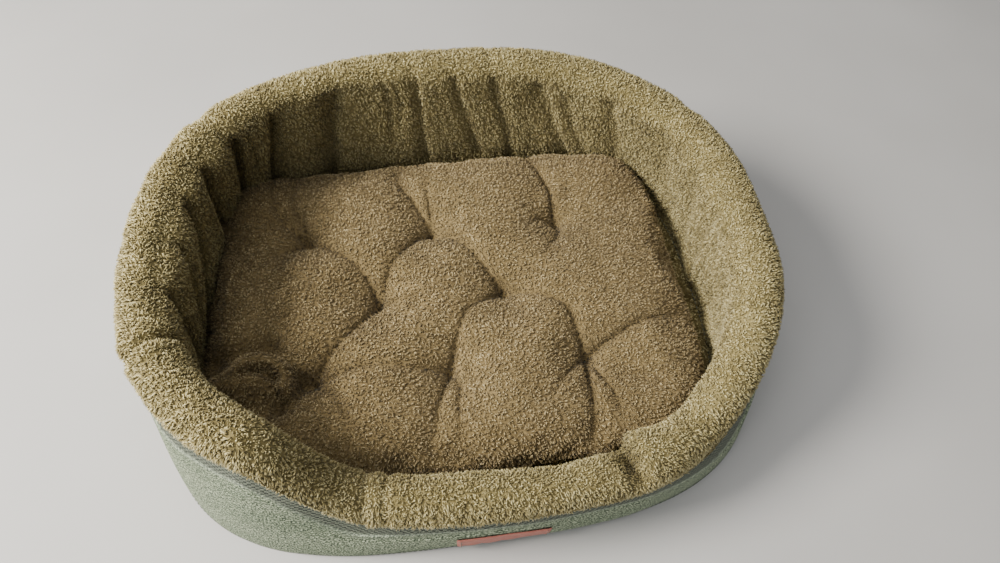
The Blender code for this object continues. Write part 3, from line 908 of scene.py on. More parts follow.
def wall_folds(wall, grid, inner_share, roll_share):
    """How deep the folds and tucks on the inside of the wall are at each point."""
    x, y, z = np.moveaxis(grid, -1, 0)
    wiggle = FOLD_WIGGLE * noise(grid, WIGGLE_SIZE, WIGGLE_SEED)
    deep = np.zeros_like(z)
    reach = np.maximum(inner_share, FOLD_OVER_RIM * roll_share)
    for line in BACK_FOLDS:
        deep += fold(x + wiggle, z, line) * (y > BACK_Y) * reach
    for line in RIGHT_FOLDS:
        deep += fold(y + wiggle, z, line) * (x > RIGHT_X) * inner_share
    travelled = np.broadcast_to(wall.travelled, z.shape)
    reach = np.maximum(inner_share, TUCK_OVER_RIM * roll_share)
    for (top, top_z), (low, low_z), *shape in TUCKS:
        line = ((wall.station(top), top_z), (wall.station(low), low_z), *shape)
        deep += fold(travelled + wiggle, z, line, TUCK_FADE) * reach
    return deep


def wall_shape(wall, grid, inner_share, roll_share):
    """How far the fleece stands off the CAD's surface, before its pile: lumps and rim creases."""
    z = grid[..., 2]
    off = sum(height * noise(grid, size, seed) for height, size, seed in WALL_LUMPS)
    off += inner_share * sum(height * cloth_noise(wall.travelled / length, z / up, layer, seed)
                             for layer, (height, length, up, seed) in enumerate(WALL_WAVES))
    for place, depth, reach in SLOUCHES:
        bulge = bell(wall.away_from(place), reach)
        off += depth * bulge * inner_share * smooth_step(z / SLOUCH_HEIGHT)
    wiggle = CREASE_WIGGLE * noise(grid, WIGGLE_SIZE, WIGGLE_SEED)
    for place, depth, width in RIM_CREASES:
        away = wall.away_from(place)[None, :] + wiggle
        beside = np.abs(away) - CREASE_BULGE_AWAY * width
        off -= depth * bell(away, width) * roll_share
        off += CREASE_BULGE * depth * bell(beside, CREASE_BULGE_WIDTH * width) * roll_share
    return off


def lip_shape(wall, rows_share):
    """How far the rim's right side stands over the front, and how far it reaches in, by its end."""
    away = wall.away_from(LIP_PLACE)[None, :]
    step = smooth_step((away + LIP_STEP) / LIP_STEP)
    beyond = np.maximum(away, 0)
    rise = LIP_RISE * step * np.exp(-beyond / LIP_REACH)
    fall = LIP_FALL * (1 - step) * bell(np.minimum(away, 0), LIP_FALL_REACH)
    near = step * bell(beyond, LIP_OVERHANG_REACH)
    return (rise - fall) * rows_share, LIP_OVERHANG * near * rows_share


def lip_hollow(wall, grid):
    """How deep in the hollow under the lip each point lies, from 0 to 1."""
    station = np.argmin(np.hypot(*(wall.rim - HOLLOW_PLACE).T))
    out = wall.rim_normal[station]
    gap = grid[..., :2] - HOLLOW_PLACE
    across = gap @ out / HOLLOW_ACROSS
    along = gap @ np.array((-out[1], out[0]))
    along = along / np.where(along < 0, HOLLOW_BEFORE, HOLLOW_AFTER)
    return bell(np.hypot(across, along), 1.0)


def tangent(vectors, normals):
    """The part of each vector that lies along the surface."""
    return vectors - normals * (vectors * normals).sum(axis=-1, keepdims=True)


def scatter(points, faces, weight, spacing, random, *fields):
    """Roots spread evenly over a mesh's faces, about spacing apart where weight is 1.

    Each field is an array with a row for every point; its value at each root is returned too.
    """
    first, second, third, fourth = np.moveaxis(points[faces], 1, 0)
    doubled = np.linalg.norm(np.cross(third - first, fourth - second), axis=1)
    total = np.cumsum(0.5 * doubled * weight[faces].mean(axis=1)) / spacing**2
    count = int(total[-1])
    chosen = faces[np.searchsorted(total, np.arange(count) + random.random(count))]
    u, v = random.random((2, count))
    shares = np.stack([(1 - u) * (1 - v), u * (1 - v), u * v, (1 - u) * v], axis=1)
    return [(field[chosen] * shares.reshape(shares.shape + (1,) * (field.ndim - 1))).sum(axis=1)
            for field in (points, *fields)]


def clump_ways(roots, pile, random):
    """The way from each root to the middle of the clump of pile that it belongs to."""
    count = int(len(roots) * (pile.spacing / pile.clump) ** 2)
    middles = roots[random.choice(len(roots), count, replace=False)]
    tree = KDTree(count)
    for index, middle in enumerate(middles.tolist()):
        tree.insert(middle, index)
    tree.balance()
    nearest = np.array([tree.find(root)[1] for root in roots.tolist()])
    return middles[nearest] - roots


def add_strands(name, roots, normals, lean, length, width, tone, material):
    """Pile: a bent tapering strand at each root, as one mesh of closed three-sided spikes."""
    lean = tangent(lean, normals)
    across = unit(np.cross(normals, lean + 1e-6))
    ahead = np.cross(across, normals)
    length = length[:, None]
    centres = [roots + length * (rise * normals + reach * lean)
               for rise, reach in zip(STRAND_RISE, STRAND_LEAN)]
    angles = np.arange(STRAND_SIDES) * 2 * math.pi / STRAND_SIDES
    points = []
    for centre, share in zip(centres, STRAND_WIDTH):
        for angle in angles:
            around = math.cos(angle) * ahead + math.sin(angle) * across
            points.append(centre + around * (width * share)[:, None])
    points.append(centres[-1])
    points = np.stack(points, axis=1)
    tip = 2 * STRAND_SIDES
    faces = [(2, 1, 0)]
    for side in range(STRAND_SIDES):
        after = (side + 1) % STRAND_SIDES
        over, over_after = STRAND_SIDES + side, STRAND_SIDES + after
        faces += [(side, after, over_after), (side, over_after, over), (over, over_after, tip)]
    obj = add_mesh(name, points.reshape(-1, 3), repeated(faces, len(roots), tip + 1), material)
    levels = np.repeat(STRAND_TONES, (STRAND_SIDES, STRAND_SIDES, 1))
    set_attribute(obj, "pile", np.clip(levels[None] * tone[:, None], 0, 1))
    return obj


def repeated(faces, count, size):
    """The faces of count copies of a mesh of size points."""
    faces = np.array(faces)
    offsets = np.arange(count)[:, None, None] * size
    return (faces[None] + offsets).reshape(-1, faces.shape[1])


def chance(random, count, limits):
    """A random number from limits' first number up to the sum of both, for each of count."""
    least, more = limits
    return least + more * random.random(count)


def grow_pile(name, pile, found, seed, material):
    """Clumped strands at roots: found holds roots, normals, comb ways, length shares and tones."""
    random = np.random.default_rng(seed)
    roots, normals, ways, shares, tones = found
    count = len(roots)
    length = pile.length * shares * chance(random, count, LENGTH_CHANCE)
    inward = clump_ways(roots, pile, random)
    pinched = np.linalg.norm(inward, axis=1) / (CLUMP_EDGE * pile.clump)
    lean = pile.pinch * inward / (STRAND_LEAN[-1] * length[:, None])
    lean += curls(roots, SWIRL_SIZE, 111) * SWIRL + random.normal(size=(count, 3)) * STRAY + ways
    width = pile.thickness * chance(random, count, WIDTH_CHANCE)
    # Painted shade: strands far from their clump's middle are darkened.
    edge_shade = CLUMP_EDGE_SHADE * np.clip(pinched, 0, CLUMP_EDGE_MOST)
    tone = (chance(random, count, TONE_CHANCE) - edge_shade) * tones
    return add_strands(name, roots, unit(normals), lean, length, width, tone, material)


def cover(title, pile, material, first_seed, points, faces, weight, *fields, dress=None):
    """A pile over the faces of a mesh where weight is above 0, as a piece for each quarter.

    The fields are normals, comb ways, and then length shares and tones, or else the values that
    dress turns into those two.
    """
    pieces = []
    for quarter, here in zip(QUARTERS, quarters(points)):
        seed = first_seed + len(pieces)
        random = np.random.default_rng(SCATTER_SEED + seed)
        found = scatter(points, faces, weight * here, pile.spacing, random, *fields)
        if dress:
            found[3:] = dress(found[0], *found[3:])
        pieces.append(grow_pile(f"{title}_{quarter}", pile, found, seed, material))
    return pieces


def quarters(points):
    """A mask of the points in each quarter of the plan, in the order of QUARTERS."""
    left = points[:, 0] < 0
    front = points[:, 1] < 0
    return front & left, front & ~left, ~front & left, ~front & ~left


def curls(points, size, seed):
    """Directions that swirl from clump to clump of the pile."""
    return np.stack([noise(points, size, seed + axis) for axis in range(3)], axis=-1)


def wall_rows(rows):
    """Where each row of the wall's section lies: steps past the hem's end, the share of the way
    over the roll and the share of the way down the inside."""
    row = np.arange(rows)[:, None] * np.ones((1, STATIONS))
    past_hem = row - (CORE_ROWS + HEM_ROWS)
    over = (past_hem - EDGE_ROWS) / ROLL_ROWS
    down = (past_hem - EDGE_ROWS - ROLL_ROWS) / INNER_ROWS
    return past_hem, over, down


def make_plush_wall(wall, material):
    """The wall with its rolled rim: the backing of its fleece, and the pile on it in pieces."""
    grid = plush_section(wall)
    rows = len(grid)
    past_hem, over, down = wall_rows(rows)
    fleeced = smooth_step((past_hem + HEM_ROWS) / HEM_ROWS)
    inner_share = rising(over, *INSIDE_START)
    roll_share = smooth_step(past_hem / ROLL_START_ROWS) * (1 - smooth_step(down / ROLL_END))
    normals = grid_normals(grid)
    deep = wall_folds(wall, grid, inner_share, roll_share)
    off = (wall_shape(wall, grid, inner_share, roll_share) - deep) * fleeced
    off -= PILE_SINK * fleeced + HEM_PINCH * bell(past_hem, HEM_PINCH_ROWS)
    grid = grid + normals * off[..., None]
    inner_half = rising(over, *LIP_START) * (1 - smooth_step(down / LIP_END))
    lift, push = lip_shape(wall, inner_half)
    grid[..., 2] += lift
    grid[..., :2] -= wall.rim_normal[None] * push[..., None]
    hollow = lip_hollow(wall, grid) * rising(over, *HOLLOW_START) * (over < HOLLOW_END)
    grid[..., 2] -= HOLLOW_DEPTH * hollow
    normals = grid_normals(grid)
    bumps = noise(grid, WALL_NUB_SIZE, 101) * fleeced
    grid = grid + normals * (WALL_NUBS * bumps)[..., None]
    faces = grid_faces(rows, STATIONS, True, wrap_rows=True)
    points = grid.reshape(-1, 3)
    backing = add_mesh("plush_wall", points, faces, material)
    set_attribute(backing, "pile", WALL_TONE[0] + WALL_TONE[1] * bumps)

    combed = np.clip(COMB_END - over, 0, COMB_MOST) ** COMB_POWER
    combed = combed * COMB_OUTSIDE + COMB_INSIDE * inner_share
    ways = unit(np.gradient(grid, axis=0)).reshape(-1, 3) * combed.reshape(-1, 1)
    shaggy = 1 - rising(over, *TOP_START)
    shares = 1 - HEM_SHORTER * bell(past_hem, HEM_SHORTER_ROWS)
    shares = (shares * (1 - TOP_SHORTER + TOP_SHORTER * shaggy)).reshape(-1)
    # Painted shade: strands in the tucks, folds and the hollow under the lip are darkened.
    shaded = TUCK_SHADE * np.clip(deep / TUCK_SHADE_DEPTH, 0, 1)
    tones = ((1 - HOLLOW_SHADE * hollow) * (1 - shaded)).reshape(-1)
    fields = (grid_normals(grid).reshape(-1, 3), ways, shares, tones)
    inside = (inner_share >= 0.5).reshape(-1)
    outside = ~inside & (past_hem.reshape(-1) >= -1)
    shown = faces[:-STATIONS]
    return [
        backing,
        *cover("rim_pile", RIM_PILE, material, RIM_SEED, points, shown, outside, *fields),
        *cover("nest_pile", NEST_PILE, material, NEST_SEED, points, shown, inside, *fields),
    ]


# ---------------------------------------------------------------- skirt, base and floor

def skirt_wrinkles(wall, share, below):
    """How far the skirt's cloth stands off the wall, at shares of its height from the foot up and
    at depths below the rim seam."""
    around = wall.travelled
    puckers = (around / PUCKER_LENGTH, share * PUCKERS_UP, 0)
    slack = (around / SLACK_LENGTH, share * SLACKS_UP, 5)
    drag = (around / DRAG_LENGTH, below / DRAG_HEIGHT, 0)
    near_seam = np.exp(-(1 - share) / SEAM_PUCKER_REACH)
    near_base = np.exp(-share / BASE_PUCKER_REACH)
    near_band = bell(below - BAND_DEPTH - DRAG_BELOW_BAND, DRAG_REACH)
    off = SEAM_PUCKER * cloth_noise(*puckers, 201) * near_seam
    off += SLACK_WAVE * cloth_noise(*slack, 202)
    off += DRAG_WAVE * cloth_noise(*drag, 204) * near_band
    off += BASE_PUCKER * cloth_noise(*puckers, 203) * near_base
    groove = BAND_GROOVE * bell(below - BAND_DEPTH, BAND_GROOVE_WIDTH)
    off -= BASE_PULL * np.exp(-share / BASE_PULL_REACH) + groove
    return off * np.minimum(1, SKIRT_CALM_FOOT + share * SKIRT_CALM_RISE)


def make_skirt(wall, material):
    """Woven cloth round the outside, drawn into small puckers at the rim seam."""
    heights = wall.heights(SKIRT_LIFT, wall.plush_edge + SKIRT_TUCK, SKIRT_ROWS)
    grid = np.array([wall.outer(z, PLUSH + GAP) for z in heights])
    normals = grid_normals(grid)
    share = np.linspace(0, 1, SKIRT_ROWS)[:, None]
    off = skirt_wrinkles(wall, share, wall.plush_edge[None, :] - grid[..., 2])
    grid = grid + normals * off[..., None]
    inside = grid[::-1] - normals[::-1] * SKIRT_THICKNESS
    skin = np.concatenate([grid, inside])
    columns = len(wall.rim)
    faces = grid_faces(2 * SKIRT_ROWS, columns, True, wrap_rows=True)
    obj = add_mesh("woven_skirt", skin.reshape(-1, 3), faces, material)
    steps = np.linalg.norm(np.diff(skin, axis=0), axis=-1)
    up = np.concatenate([np.zeros((1, columns)), np.cumsum(steps, axis=0)])
    set_uv(obj, np.stack([np.broadcast_to(wall.travelled, up.shape), up], axis=-1))
    # The band's mask: where the rim's painted shadow lies on the skirt, with its dotted weave.
    past_band = wall.plush_edge[None, :] - skin[..., 2] - BAND_DEPTH
    set_attribute(obj, "band", 1 - smooth_step(past_band / BAND_BLUR))
    set_attribute(obj, "seam", BAND_SEAM_SHADE * bell(past_band - BAND_SEAM_DROP, BAND_SEAM_WIDTH))
    return obj


def disc_grid(half, squareness, cells, curve=lambda reach: reach):
    """A square grid pressed into a superellipse, with each point's share of the way to the edge."""
    u, v = np.meshgrid(np.linspace(-1, 1, cells[0] + 1), np.linspace(-1, 1, cells[1] + 1))
    square = np.maximum(np.maximum(np.abs(u), np.abs(v)), TINY)
    rounded = (np.abs(u) ** squareness + np.abs(v) ** squareness) ** (1 / squareness)
    reach = curve(square)
    factor = reach / np.maximum(rounded, TINY)
    return np.stack([u * factor * half[0], v * factor * half[1]], axis=-1), reach


def welded_discs(name, top, bottom, material):
    """One closed mesh from an upper and a lower grid, which share the upper one's outline."""
    rows, columns = top.shape[:2]
    index_bottom = np.arange(rows * columns).reshape(rows, columns)
    inner = np.zeros((rows, columns), bool)
    inner[1:-1, 1:-1] = True
    index_bottom[inner] = rows * columns + np.arange(inner.sum())
    points = np.concatenate([top.reshape(-1, 3), bottom[inner]])
    upper = grid_faces(rows, columns, False)
    lower = index_bottom.ravel()[upper][:, ::-1]
    return add_mesh(name, points, np.concatenate([upper, lower]), material)


def make_plush_floor(material):
    """The fleece-covered pad that is the floor of the nest, under the cushion, and its pile."""
    half = [reach - FOOT_THICKNESS + FLOOR_OVERLAP for reach in FOOT_HALF]
    plan, reach = disc_grid(half, FOOT_SQUARENESS, FLOOR_GRID)
    top = np.dstack([plan, np.full(reach.shape, FLOOR_TOP - FLOOR_BACKING_DROP)])
    for height, size, seed in FLOOR_WAVES:
        top[..., 2] += height * noise(top, size, seed)
    bottom = np.dstack([plan, np.full(reach.shape, FLOOR_UNDERSIDE)])
    obj = welded_discs("plush_floor", top, bottom, material)
    points = points_of(obj)
    set_attribute(obj, "pile", FLOOR_TONE[0] + FLOOR_TONE[1] * noise(points, *FLOOR_WAVES[-1][1:]))
    points = points - (0.0, 0.0, FLOOR_PILE_SINK)
    normals = normals_of(obj)
    shown = (normals[:, 2] > 0.5).astype(float)
    fields = (normals, np.zeros_like(points), shown, shown)
    pile = cover("floor_pile", FLOOR_PILE, material, FLOOR_SEED, points, quads_of(obj), shown,
                 *fields)
    return [obj, *pile]


def make_base(material, dot_material):
    """The cloth under the bed, with rows of small rubber dots."""
    half = (FOOT_HALF[0] - BASE_INSET, FOOT_HALF[1] - BASE_INSET)
    plan, reach = disc_grid(half, FOOT_SQUARENESS, BASE_GRID)
    bottom = np.dstack([plan, np.full(reach.shape, BASE_UNDERSIDE)])
    bottom[..., 2] += BASE_WAVE * noise(bottom, BASE_WAVE_SIZE, 401)
    top = np.dstack([plan, np.full(reach.shape, BASE_UNDERSIDE + BASE_THICKNESS)])
    base = welded_discs("base_panel", top, bottom, material)
    places = []
    for row, y in enumerate(np.arange(-half[1], half[1], DOT_SPACING)):
        for x in np.arange(-half[0], half[0], DOT_SPACING) + (row % 2) * DOT_SPACING / 2:
            share = abs(x / half[0]) ** FOOT_SQUARENESS + abs(y / half[1]) ** FOOT_SQUARENESS
            if share < DOT_EDGE:
                places.append((x, y, 0.0))
    return base, add_dots("base_dots", np.array(places), dot_material)


def add_dots(name, places, material):
    """Low domes that stand down from the underside of the base at every place."""
    angles = np.arange(DOT_SIDES) * 2 * math.pi / DOT_SIDES
    rings = []
    for reach, fall in DOT_RINGS:
        x = DOT_RADIUS * reach * np.cos(angles)
        y = DOT_RADIUS * reach * np.sin(angles)
        z = np.full(DOT_SIDES, BASE_UNDERSIDE + DOT_SUNK - DOT_DROP * fall)
        rings.append(np.stack([x, y, z], axis=1))
    dome = np.concatenate(rings)
    points = (dome[None] + places[:, None]).reshape(-1, 3)
    faces = grid_faces(len(DOT_RINGS), DOT_SIDES, True)[:, ::-1]
    return add_mesh(name, points, repeated(faces, len(places), len(dome)), material)


# ---------------------------------------------------------------- the cushion

def segment_distance(plan, points):
    """Distance of each plan point from a bent line, and the share of the way along it."""
    points = np.array(points)
    lengths = np.hypot(*np.diff(points, axis=0).T)
    starts = np.concatenate([[0.0], np.cumsum(lengths)])
    nearest = np.full(plan.shape[:-1], FAR)
    share = np.zeros(plan.shape[:-1])
    for index, length in enumerate(lengths):
        start = points[index]
        direction = (points[index + 1] - start) / length
        along = np.clip((plan - start) @ direction, 0, length)
        gap = np.hypot(*np.moveaxis(plan - start - along[..., None] * direction, -1, 0))
        closer = gap < nearest
        nearest = np.where(closer, gap, nearest)
        share = np.where(closer, (starts[index] + along) / starts[-1], share)
    return nearest, share


def rounded_line(points):
    """The points joined by a smooth curve."""
    points = np.array(points, float)
    ends = np.concatenate([[2 * points[0] - points[1]], points, [2 * points[-1] - points[-2]]])
    found = []
    for index in range(1, len(ends) - 2):
        before, here, there, beyond = ends[index - 1:index + 3]
        for cut in range(CURVE_CUTS):
            t = cut / CURVE_CUTS
            found.append(0.5 * (2 * here + (there - before) * t
                                + (2 * before - 5 * here + 4 * there - beyond) * t**2
                                + (3 * here - before - 3 * there + beyond) * t**3))
    found.append(points[-1])
    return np.array(found)


def crease_line(stops):
    return rounded_line([TUFTS[stop] if isinstance(stop, str) else stop for stop in stops])


def distance(plan, place):
    return np.hypot(*np.moveaxis(plan - np.array(place), -1, 0))


def pits(plan, width):
    """How strongly the tufts pull each point in, from 0 to 1."""
    depth = np.zeros(plan.shape[:-1])
    for place in TUFTS.values():
        depth = np.maximum(depth, np.exp(-distance(plan, place) / width))
    return depth


def crease_depth(plan, width):
    """Depth of the cushion's creases at each point: a sharp valley between convex shoulders."""
    deepest = np.zeros(plan.shape[:-1])
    flat = np.concatenate([plan, 0 * plan[..., :1]], axis=-1)
    wobble = [noise(flat, CREASE_WOBBLE_SIZE, seed) for seed in (501, 502)]
    plan = plan + CREASE_WOBBLE * np.stack(wobble, axis=-1)
    for stops, depth in CREASES:
        gap, share = segment_distance(plan, crease_line(stops))
        if isinstance(stops[-1], str):
            along = CREASE_HALFWAY + (1 - CREASE_HALFWAY) * np.abs(2 * share - 1)
        else:
            along = 1 - CREASE_FADE * smooth_step((share - (1 - CREASE_FADE)) / CREASE_FADE)
        deepest = np.maximum(deepest, depth * along * np.exp(-gap / width))
    return deepest


def edge_curve(share):
    """Spreads a grid's rings so that they lie evenly over the rounded edge."""
    return np.sin(share * math.pi / 2) ** RING_POWER


def corner_rise(plan):
    """How far the cushion's corners ride up the wall."""
    rise = np.zeros(plan.shape[:-1])
    for place, height, spread in RAISED_CORNERS:
        rise += height * bell(distance(plan, place), spread)
    return rise


def cushion_dome(reach, power):
    return (1 - np.clip(reach, 0, 1) ** power) ** (1 / CUSHION_ROUNDNESS)


def cushion_surface():
    """Top and bottom grids of the cushion, which share their outline."""
    plan, reach = disc_grid(CUSHION_HALF, CUSHION_SQUARENESS, CUSHION_GRID, edge_curve)
    plan = plan + CUSHION_CENTRE
    flat = np.dstack([plan, np.zeros(reach.shape)])
    puff = 1 + CUSHION_PUFF * noise(flat, CUSHION_PUFF_SIZE, 511)
    inside = smooth_step((1 - reach) / CUSHION_RIM)
    dimples = pits(plan, PIT_WIDE)
    pulled = PIT_DEPTH_WIDE * dimples + CREASE_WIDE_SHARE * crease_depth(plan, CREASE_WIDE)
    lifted = corner_rise(plan)
    top = CUSHION_SEAM_Z + CUSHION_RISE * cushion_dome(reach, CUSHION_TOP_POWER) * puff
    top = top - pulled * inside + lifted
    belly = cushion_dome(reach, CUSHION_BOTTOM_POWER)
    bottom = CUSHION_SEAM_Z - (CUSHION_SEAM_Z - CUSHION_FLOOR) * belly
    bottom += UNDERSIDE_PIT * dimples * inside + lifted * (1 - belly)
    return np.dstack([plan, top]), np.dstack([plan, bottom])


def keep_inside(wall, points):
    """Presses in whatever would stand further than it may into the nest's wall."""
    levels = np.linspace(*LIMIT_LEVELS)
    turns = np.linspace(-math.pi, math.pi, LIMIT_TURNS)
    limits = []
    for level in levels:
        loop = wall.inner(np.full(len(wall.rim), level), 0.0)[:, :2]
        angles = np.arctan2(loop[:, 1], loop[:, 0])
        limits.append(np.interp(turns, angles, np.hypot(*loop.T), period=2 * math.pi))
    limits = np.array(limits)
    row = (points[:, 2] - levels[0]) / (levels[1] - levels[0])
    row = np.clip(row, 0, len(levels) - BEFORE_LAST)
    column = (np.arctan2(points[:, 1], points[:, 0]) + math.pi) / (turns[1] - turns[0])
    column = np.clip(column, 0, len(turns) - BEFORE_LAST)
    low = row.astype(int)
    left = column.astype(int)
    up = row - low
    right = column - left
    lower = limits[low, left] * (1 - right) + limits[low, left + 1] * right
    upper = limits[low + 1, left] * (1 - right) + limits[low + 1, left + 1] * right
    limit = lower * (1 - up) + upper * up
    reach = np.hypot(points[:, 0], points[:, 1])
    factor = np.minimum(1, (limit + CUSHION_SINK_IN) / np.maximum(reach, TINY))
    return points * np.column_stack([factor, factor, np.ones_like(factor)])


def subdivide(obj, levels):
    modifier = obj.modifiers.new("subdivide", "SUBSURF")
    modifier.levels = levels
    modifier.render_levels = levels
    bpy.context.view_layer.update()
    depsgraph = bpy.context.evaluated_depsgraph_get()
    mesh = bpy.data.meshes.new_from_object(obj.evaluated_get(depsgraph))
    obj.modifiers.clear()
    old = obj.data
    obj.data = mesh
    bpy.data.meshes.remove(old)


def curl_shape(plan, upper):
    """The curled corner: its raised pad and rolled edge, less the slit in it and the pits beside
    it, and how much of the light those hollows keep out."""
    edge, share = segment_distance(plan, rounded_line(CURL))
    roll = np.sqrt(np.clip(1 - (edge / CURL_RADIUS) ** 2, 0, 1))
    roll *= smooth_step(share / CURL_TAPER[0]) * smooth_step((1 - share) / CURL_TAPER[1])
    middle, _ = segment_distance(plan, rounded_line(CURL_PAD))
    pad = 1 - smooth_step(middle / CURL_PAD_RADIUS)
    slit, _ = segment_distance(plan, rounded_line(CURL_SLIT))
    slit = bell(slit, CURL_SLIT_WIDTH)
    rise = CURL_HEIGHT * roll + CURL_PAD_HEIGHT * pad - CURL_SLIT_DEPTH * slit
    shade = slit
    for place, depth, width in CURL_DIPS:
        dip = bell(distance(plan, place), width)
        rise -= depth * dip * (1 - roll)
        shade = np.maximum(shade, dip * (1 - roll))
    return rise * upper, CURL_SHADE * shade * upper


def stuff(obj):
    """Lets the cushion's cover swell under its fill, held at its tufts, creases and outline."""
    start = points_of(obj)
    plan = start[:, :2]
    near = np.min([distance(plan, place) for place in TUFTS.values()], axis=0)
    tufted = np.clip(bell(near, TUFT_HOLD_REACH) * TUFT_HOLD, 0, 1)
    creased = np.clip(crease_depth(plan, CREASE_HOLD_WIDTH) / CREASE_HOLD_DEPTH, 0, 1)
    weights = np.maximum(tufted, CREASE_HOLD * creased * (start[:, 2] > CUSHION_SEAM_Z))
    outline = np.ones((CUSHION_GRID[1] + 1, CUSHION_GRID[0] + 1), bool)
    outline[1:-1, 1:-1] = False
    weights[:outline.size][outline.ravel()] = OUTLINE_HOLD
    group = obj.vertex_groups.new(name="held")
    for index, weight in enumerate(weights):
        group.add([index], float(weight), "REPLACE")
    cloth = obj.modifiers.new("stuffing", "CLOTH")
    for name, value in CLOTH_SETTINGS.items():
        setattr(cloth.settings, name, value)
    cloth.settings.effector_weights.gravity = 0.0
    cloth.collision_settings.use_collision = False
    cloth.point_cache.frame_start = 1
    cloth.point_cache.frame_end = CLOTH_FRAMES
    for frame_number in range(1, CLOTH_FRAMES + 1):
        bpy.context.scene.frame_set(frame_number)
    evaluated = obj.evaluated_get(bpy.context.evaluated_depsgraph_get())
    moved = points_of(evaluated) - start
    reach = np.linalg.norm(moved, axis=1, keepdims=True)
    moved *= np.minimum(1, CLOTH_CAP / np.maximum(reach, TINY))
    obj.modifiers.clear()
    obj.vertex_groups.clear()
    bpy.context.scene.frame_set(1)
    swollen = start + moved
    swollen[:, 2] = np.maximum(swollen[:, 2], CUSHION_FLOOR)
    move_points(obj, swollen)


def make_cushion(wall, material):
    """The loose cushion: stuffed form, tufts and creases, curled corner, then its pile."""
    obj = welded_discs("plush_cushion", *cushion_surface(), material)
    stuff(obj)
    subdivide(obj, 2)
    points = points_of(obj)
    normals = normals_of(obj)
    upper = rising(normals[:, 2], *CREASED_START)
    sharp = crease_depth(points[:, :2], CREASE_NARROW) * upper
    points = points - normals * (CREASE_NARROW_SHARE * sharp + CUSHION_PILE_SINK)[:, None]
    points[:, 2] -= PIT_DEPTH_NARROW * pits(points[:, :2], PIT_NARROW) * upper
    points[:, 2] += curl_shape(points[:, :2], upper)[0]
    points += normals * (CUSHION_LUMPS * noise(points, CUSHION_LUMP_SIZE, 521))[:, None]
    points[:, 2] = np.maximum(points[:, 2], FLOOR_TOP + CUSHION_GAP)
    points = keep_inside(wall, points)
    move_points(obj, points)
    normals = normals_of(obj)
    bumps = noise(points, CUSHION_NUB_SIZE, 522)
    points = points + normals * (CUSHION_NUBS * bumps)[:, None]
    move_points(obj, points)
    set_attribute(obj, "pile", CUSHION_TONE[0] + CUSHION_TONE[1] * bumps)

    covered = rising(normals[:, 2], *COVERED_START)
    fields = (normals, np.zeros_like(points), upper)
    pile = cover("cushion_pile", CUSHION_PILE, material, CUSHION_SEED, points, quads_of(obj),
                 covered, *fields, dress=crease_pile_and_shade)
    return [obj, *pile]


def crease_pile_and_shade(roots, upper):
    """Length shares and tones of cushion strands: short and in painted shade in creases and
    hollows.
    """
    plan = roots[:, :2]
    line = crease_depth(plan, CREASE_LINE) / CREASE_FULL_DEPTH + pits(plan, PIT_NARROW)
    line = np.clip(line * upper + curl_shape(plan, upper)[1], 0, 1)
    return 1 - CREASE_SHORTER * line, 1 - CREASE_PAINTED_SHADE * line


# ---------------------------------------------------------------- thread and tag

def capsule():
    """A stitch of unit length along X and unit radius, as points and faces."""
    angles = np.arange(STITCH_SIDES) * 2 * math.pi / STITCH_SIDES
    rings = []
    for angle in np.linspace(0, math.pi, STITCH_RINGS):
        x = np.full(STITCH_SIDES, -0.5 * math.cos(angle))
        y = np.sin(angle) * np.cos(angles)
        z = np.sin(angle) * np.sin(angles)
        rings.append(np.stack([x, y, z], axis=1))
    return np.concatenate(rings), grid_faces(STITCH_RINGS, STITCH_SIDES, True)


def add_stitches(name, places, along, outward, size, material):
    """Thread stitches of one length and radius, each lying along its own direction on the cloth."""
    length, radius = size
    along = unit(along)
    across = unit(np.cross(outward, along))
    up = np.cross(along, across)
    stitch, faces = capsule()
    points = (places[:, None] + stitch[None, :, :1] * length * along[:, None]
              + stitch[None, :, 1:2] * radius * across[:, None]
              + stitch[None, :, 2:] * radius * up[:, None])
    faces = repeated(faces, len(places), len(stitch))
    return add_mesh(name, points.reshape(-1, 3), faces, material)


def stitch_row(name, line, outward, pitch, size, material):
    """Stitches spaced along a closed line."""
    steps = np.linalg.norm(np.roll(line, -1, axis=0) - line, axis=1)
    travelled = np.concatenate([[0.0], np.cumsum(steps)])
    count = int(travelled[-1] / pitch)
    at = np.arange(count) * travelled[-1] / count

    def along_line(values, where):
        closed = np.concatenate([values, values[:1]])
        return np.stack([np.interp(where, travelled, closed[:, axis]) for axis in range(3)], axis=1)

    places = along_line(line, at)
    ahead = along_line(line, (at + STITCH_AHEAD) % travelled[-1])
    return add_stitches(name, places, ahead - places, along_line(outward, at), size, material)


def make_seams(wall, material):
    """Rows of stitches at the rim seam, the base seam and the floor seam."""
    flat = np.zeros((len(wall.rim), 1))
    rim_out = np.column_stack([wall.rim_normal, flat])
    foot_out = np.column_stack([wall.foot_normal, flat])
    base_z = np.full(len(wall.rim), BASE_SEAM_Z)
    floor_z = np.full(len(wall.rim), FLOOR_TOP + FLOOR_SEAM_RISE)
    rim_line = wall.outer(wall.plush_edge - RIM_SEAM_DROP, PLUSH + GAP - RIM_SEAM_STAND_OFF)
    base_line = wall.outer(base_z, PLUSH + GAP - BASE_SEAM_STAND_OFF)
    floor_line = wall.inner(floor_z, -FLOOR_SEAM_STAND_OFF)
    for seam, line, out, pitch, size in (
            ("rim_seam", rim_line, rim_out, SEAM_PITCH, SEAM_STITCH),
            ("base_seam", base_line, foot_out, SEAM_PITCH, SEAM_STITCH),
            ("floor_seam", floor_line, foot_out, FLOOR_PITCH, FLOOR_STITCH)):
        row = stitch_row(f"{seam}_stitches", line, out, pitch, size, material)
        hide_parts(f"{seam}_thread")
        hand_over("thread", "bed", row)


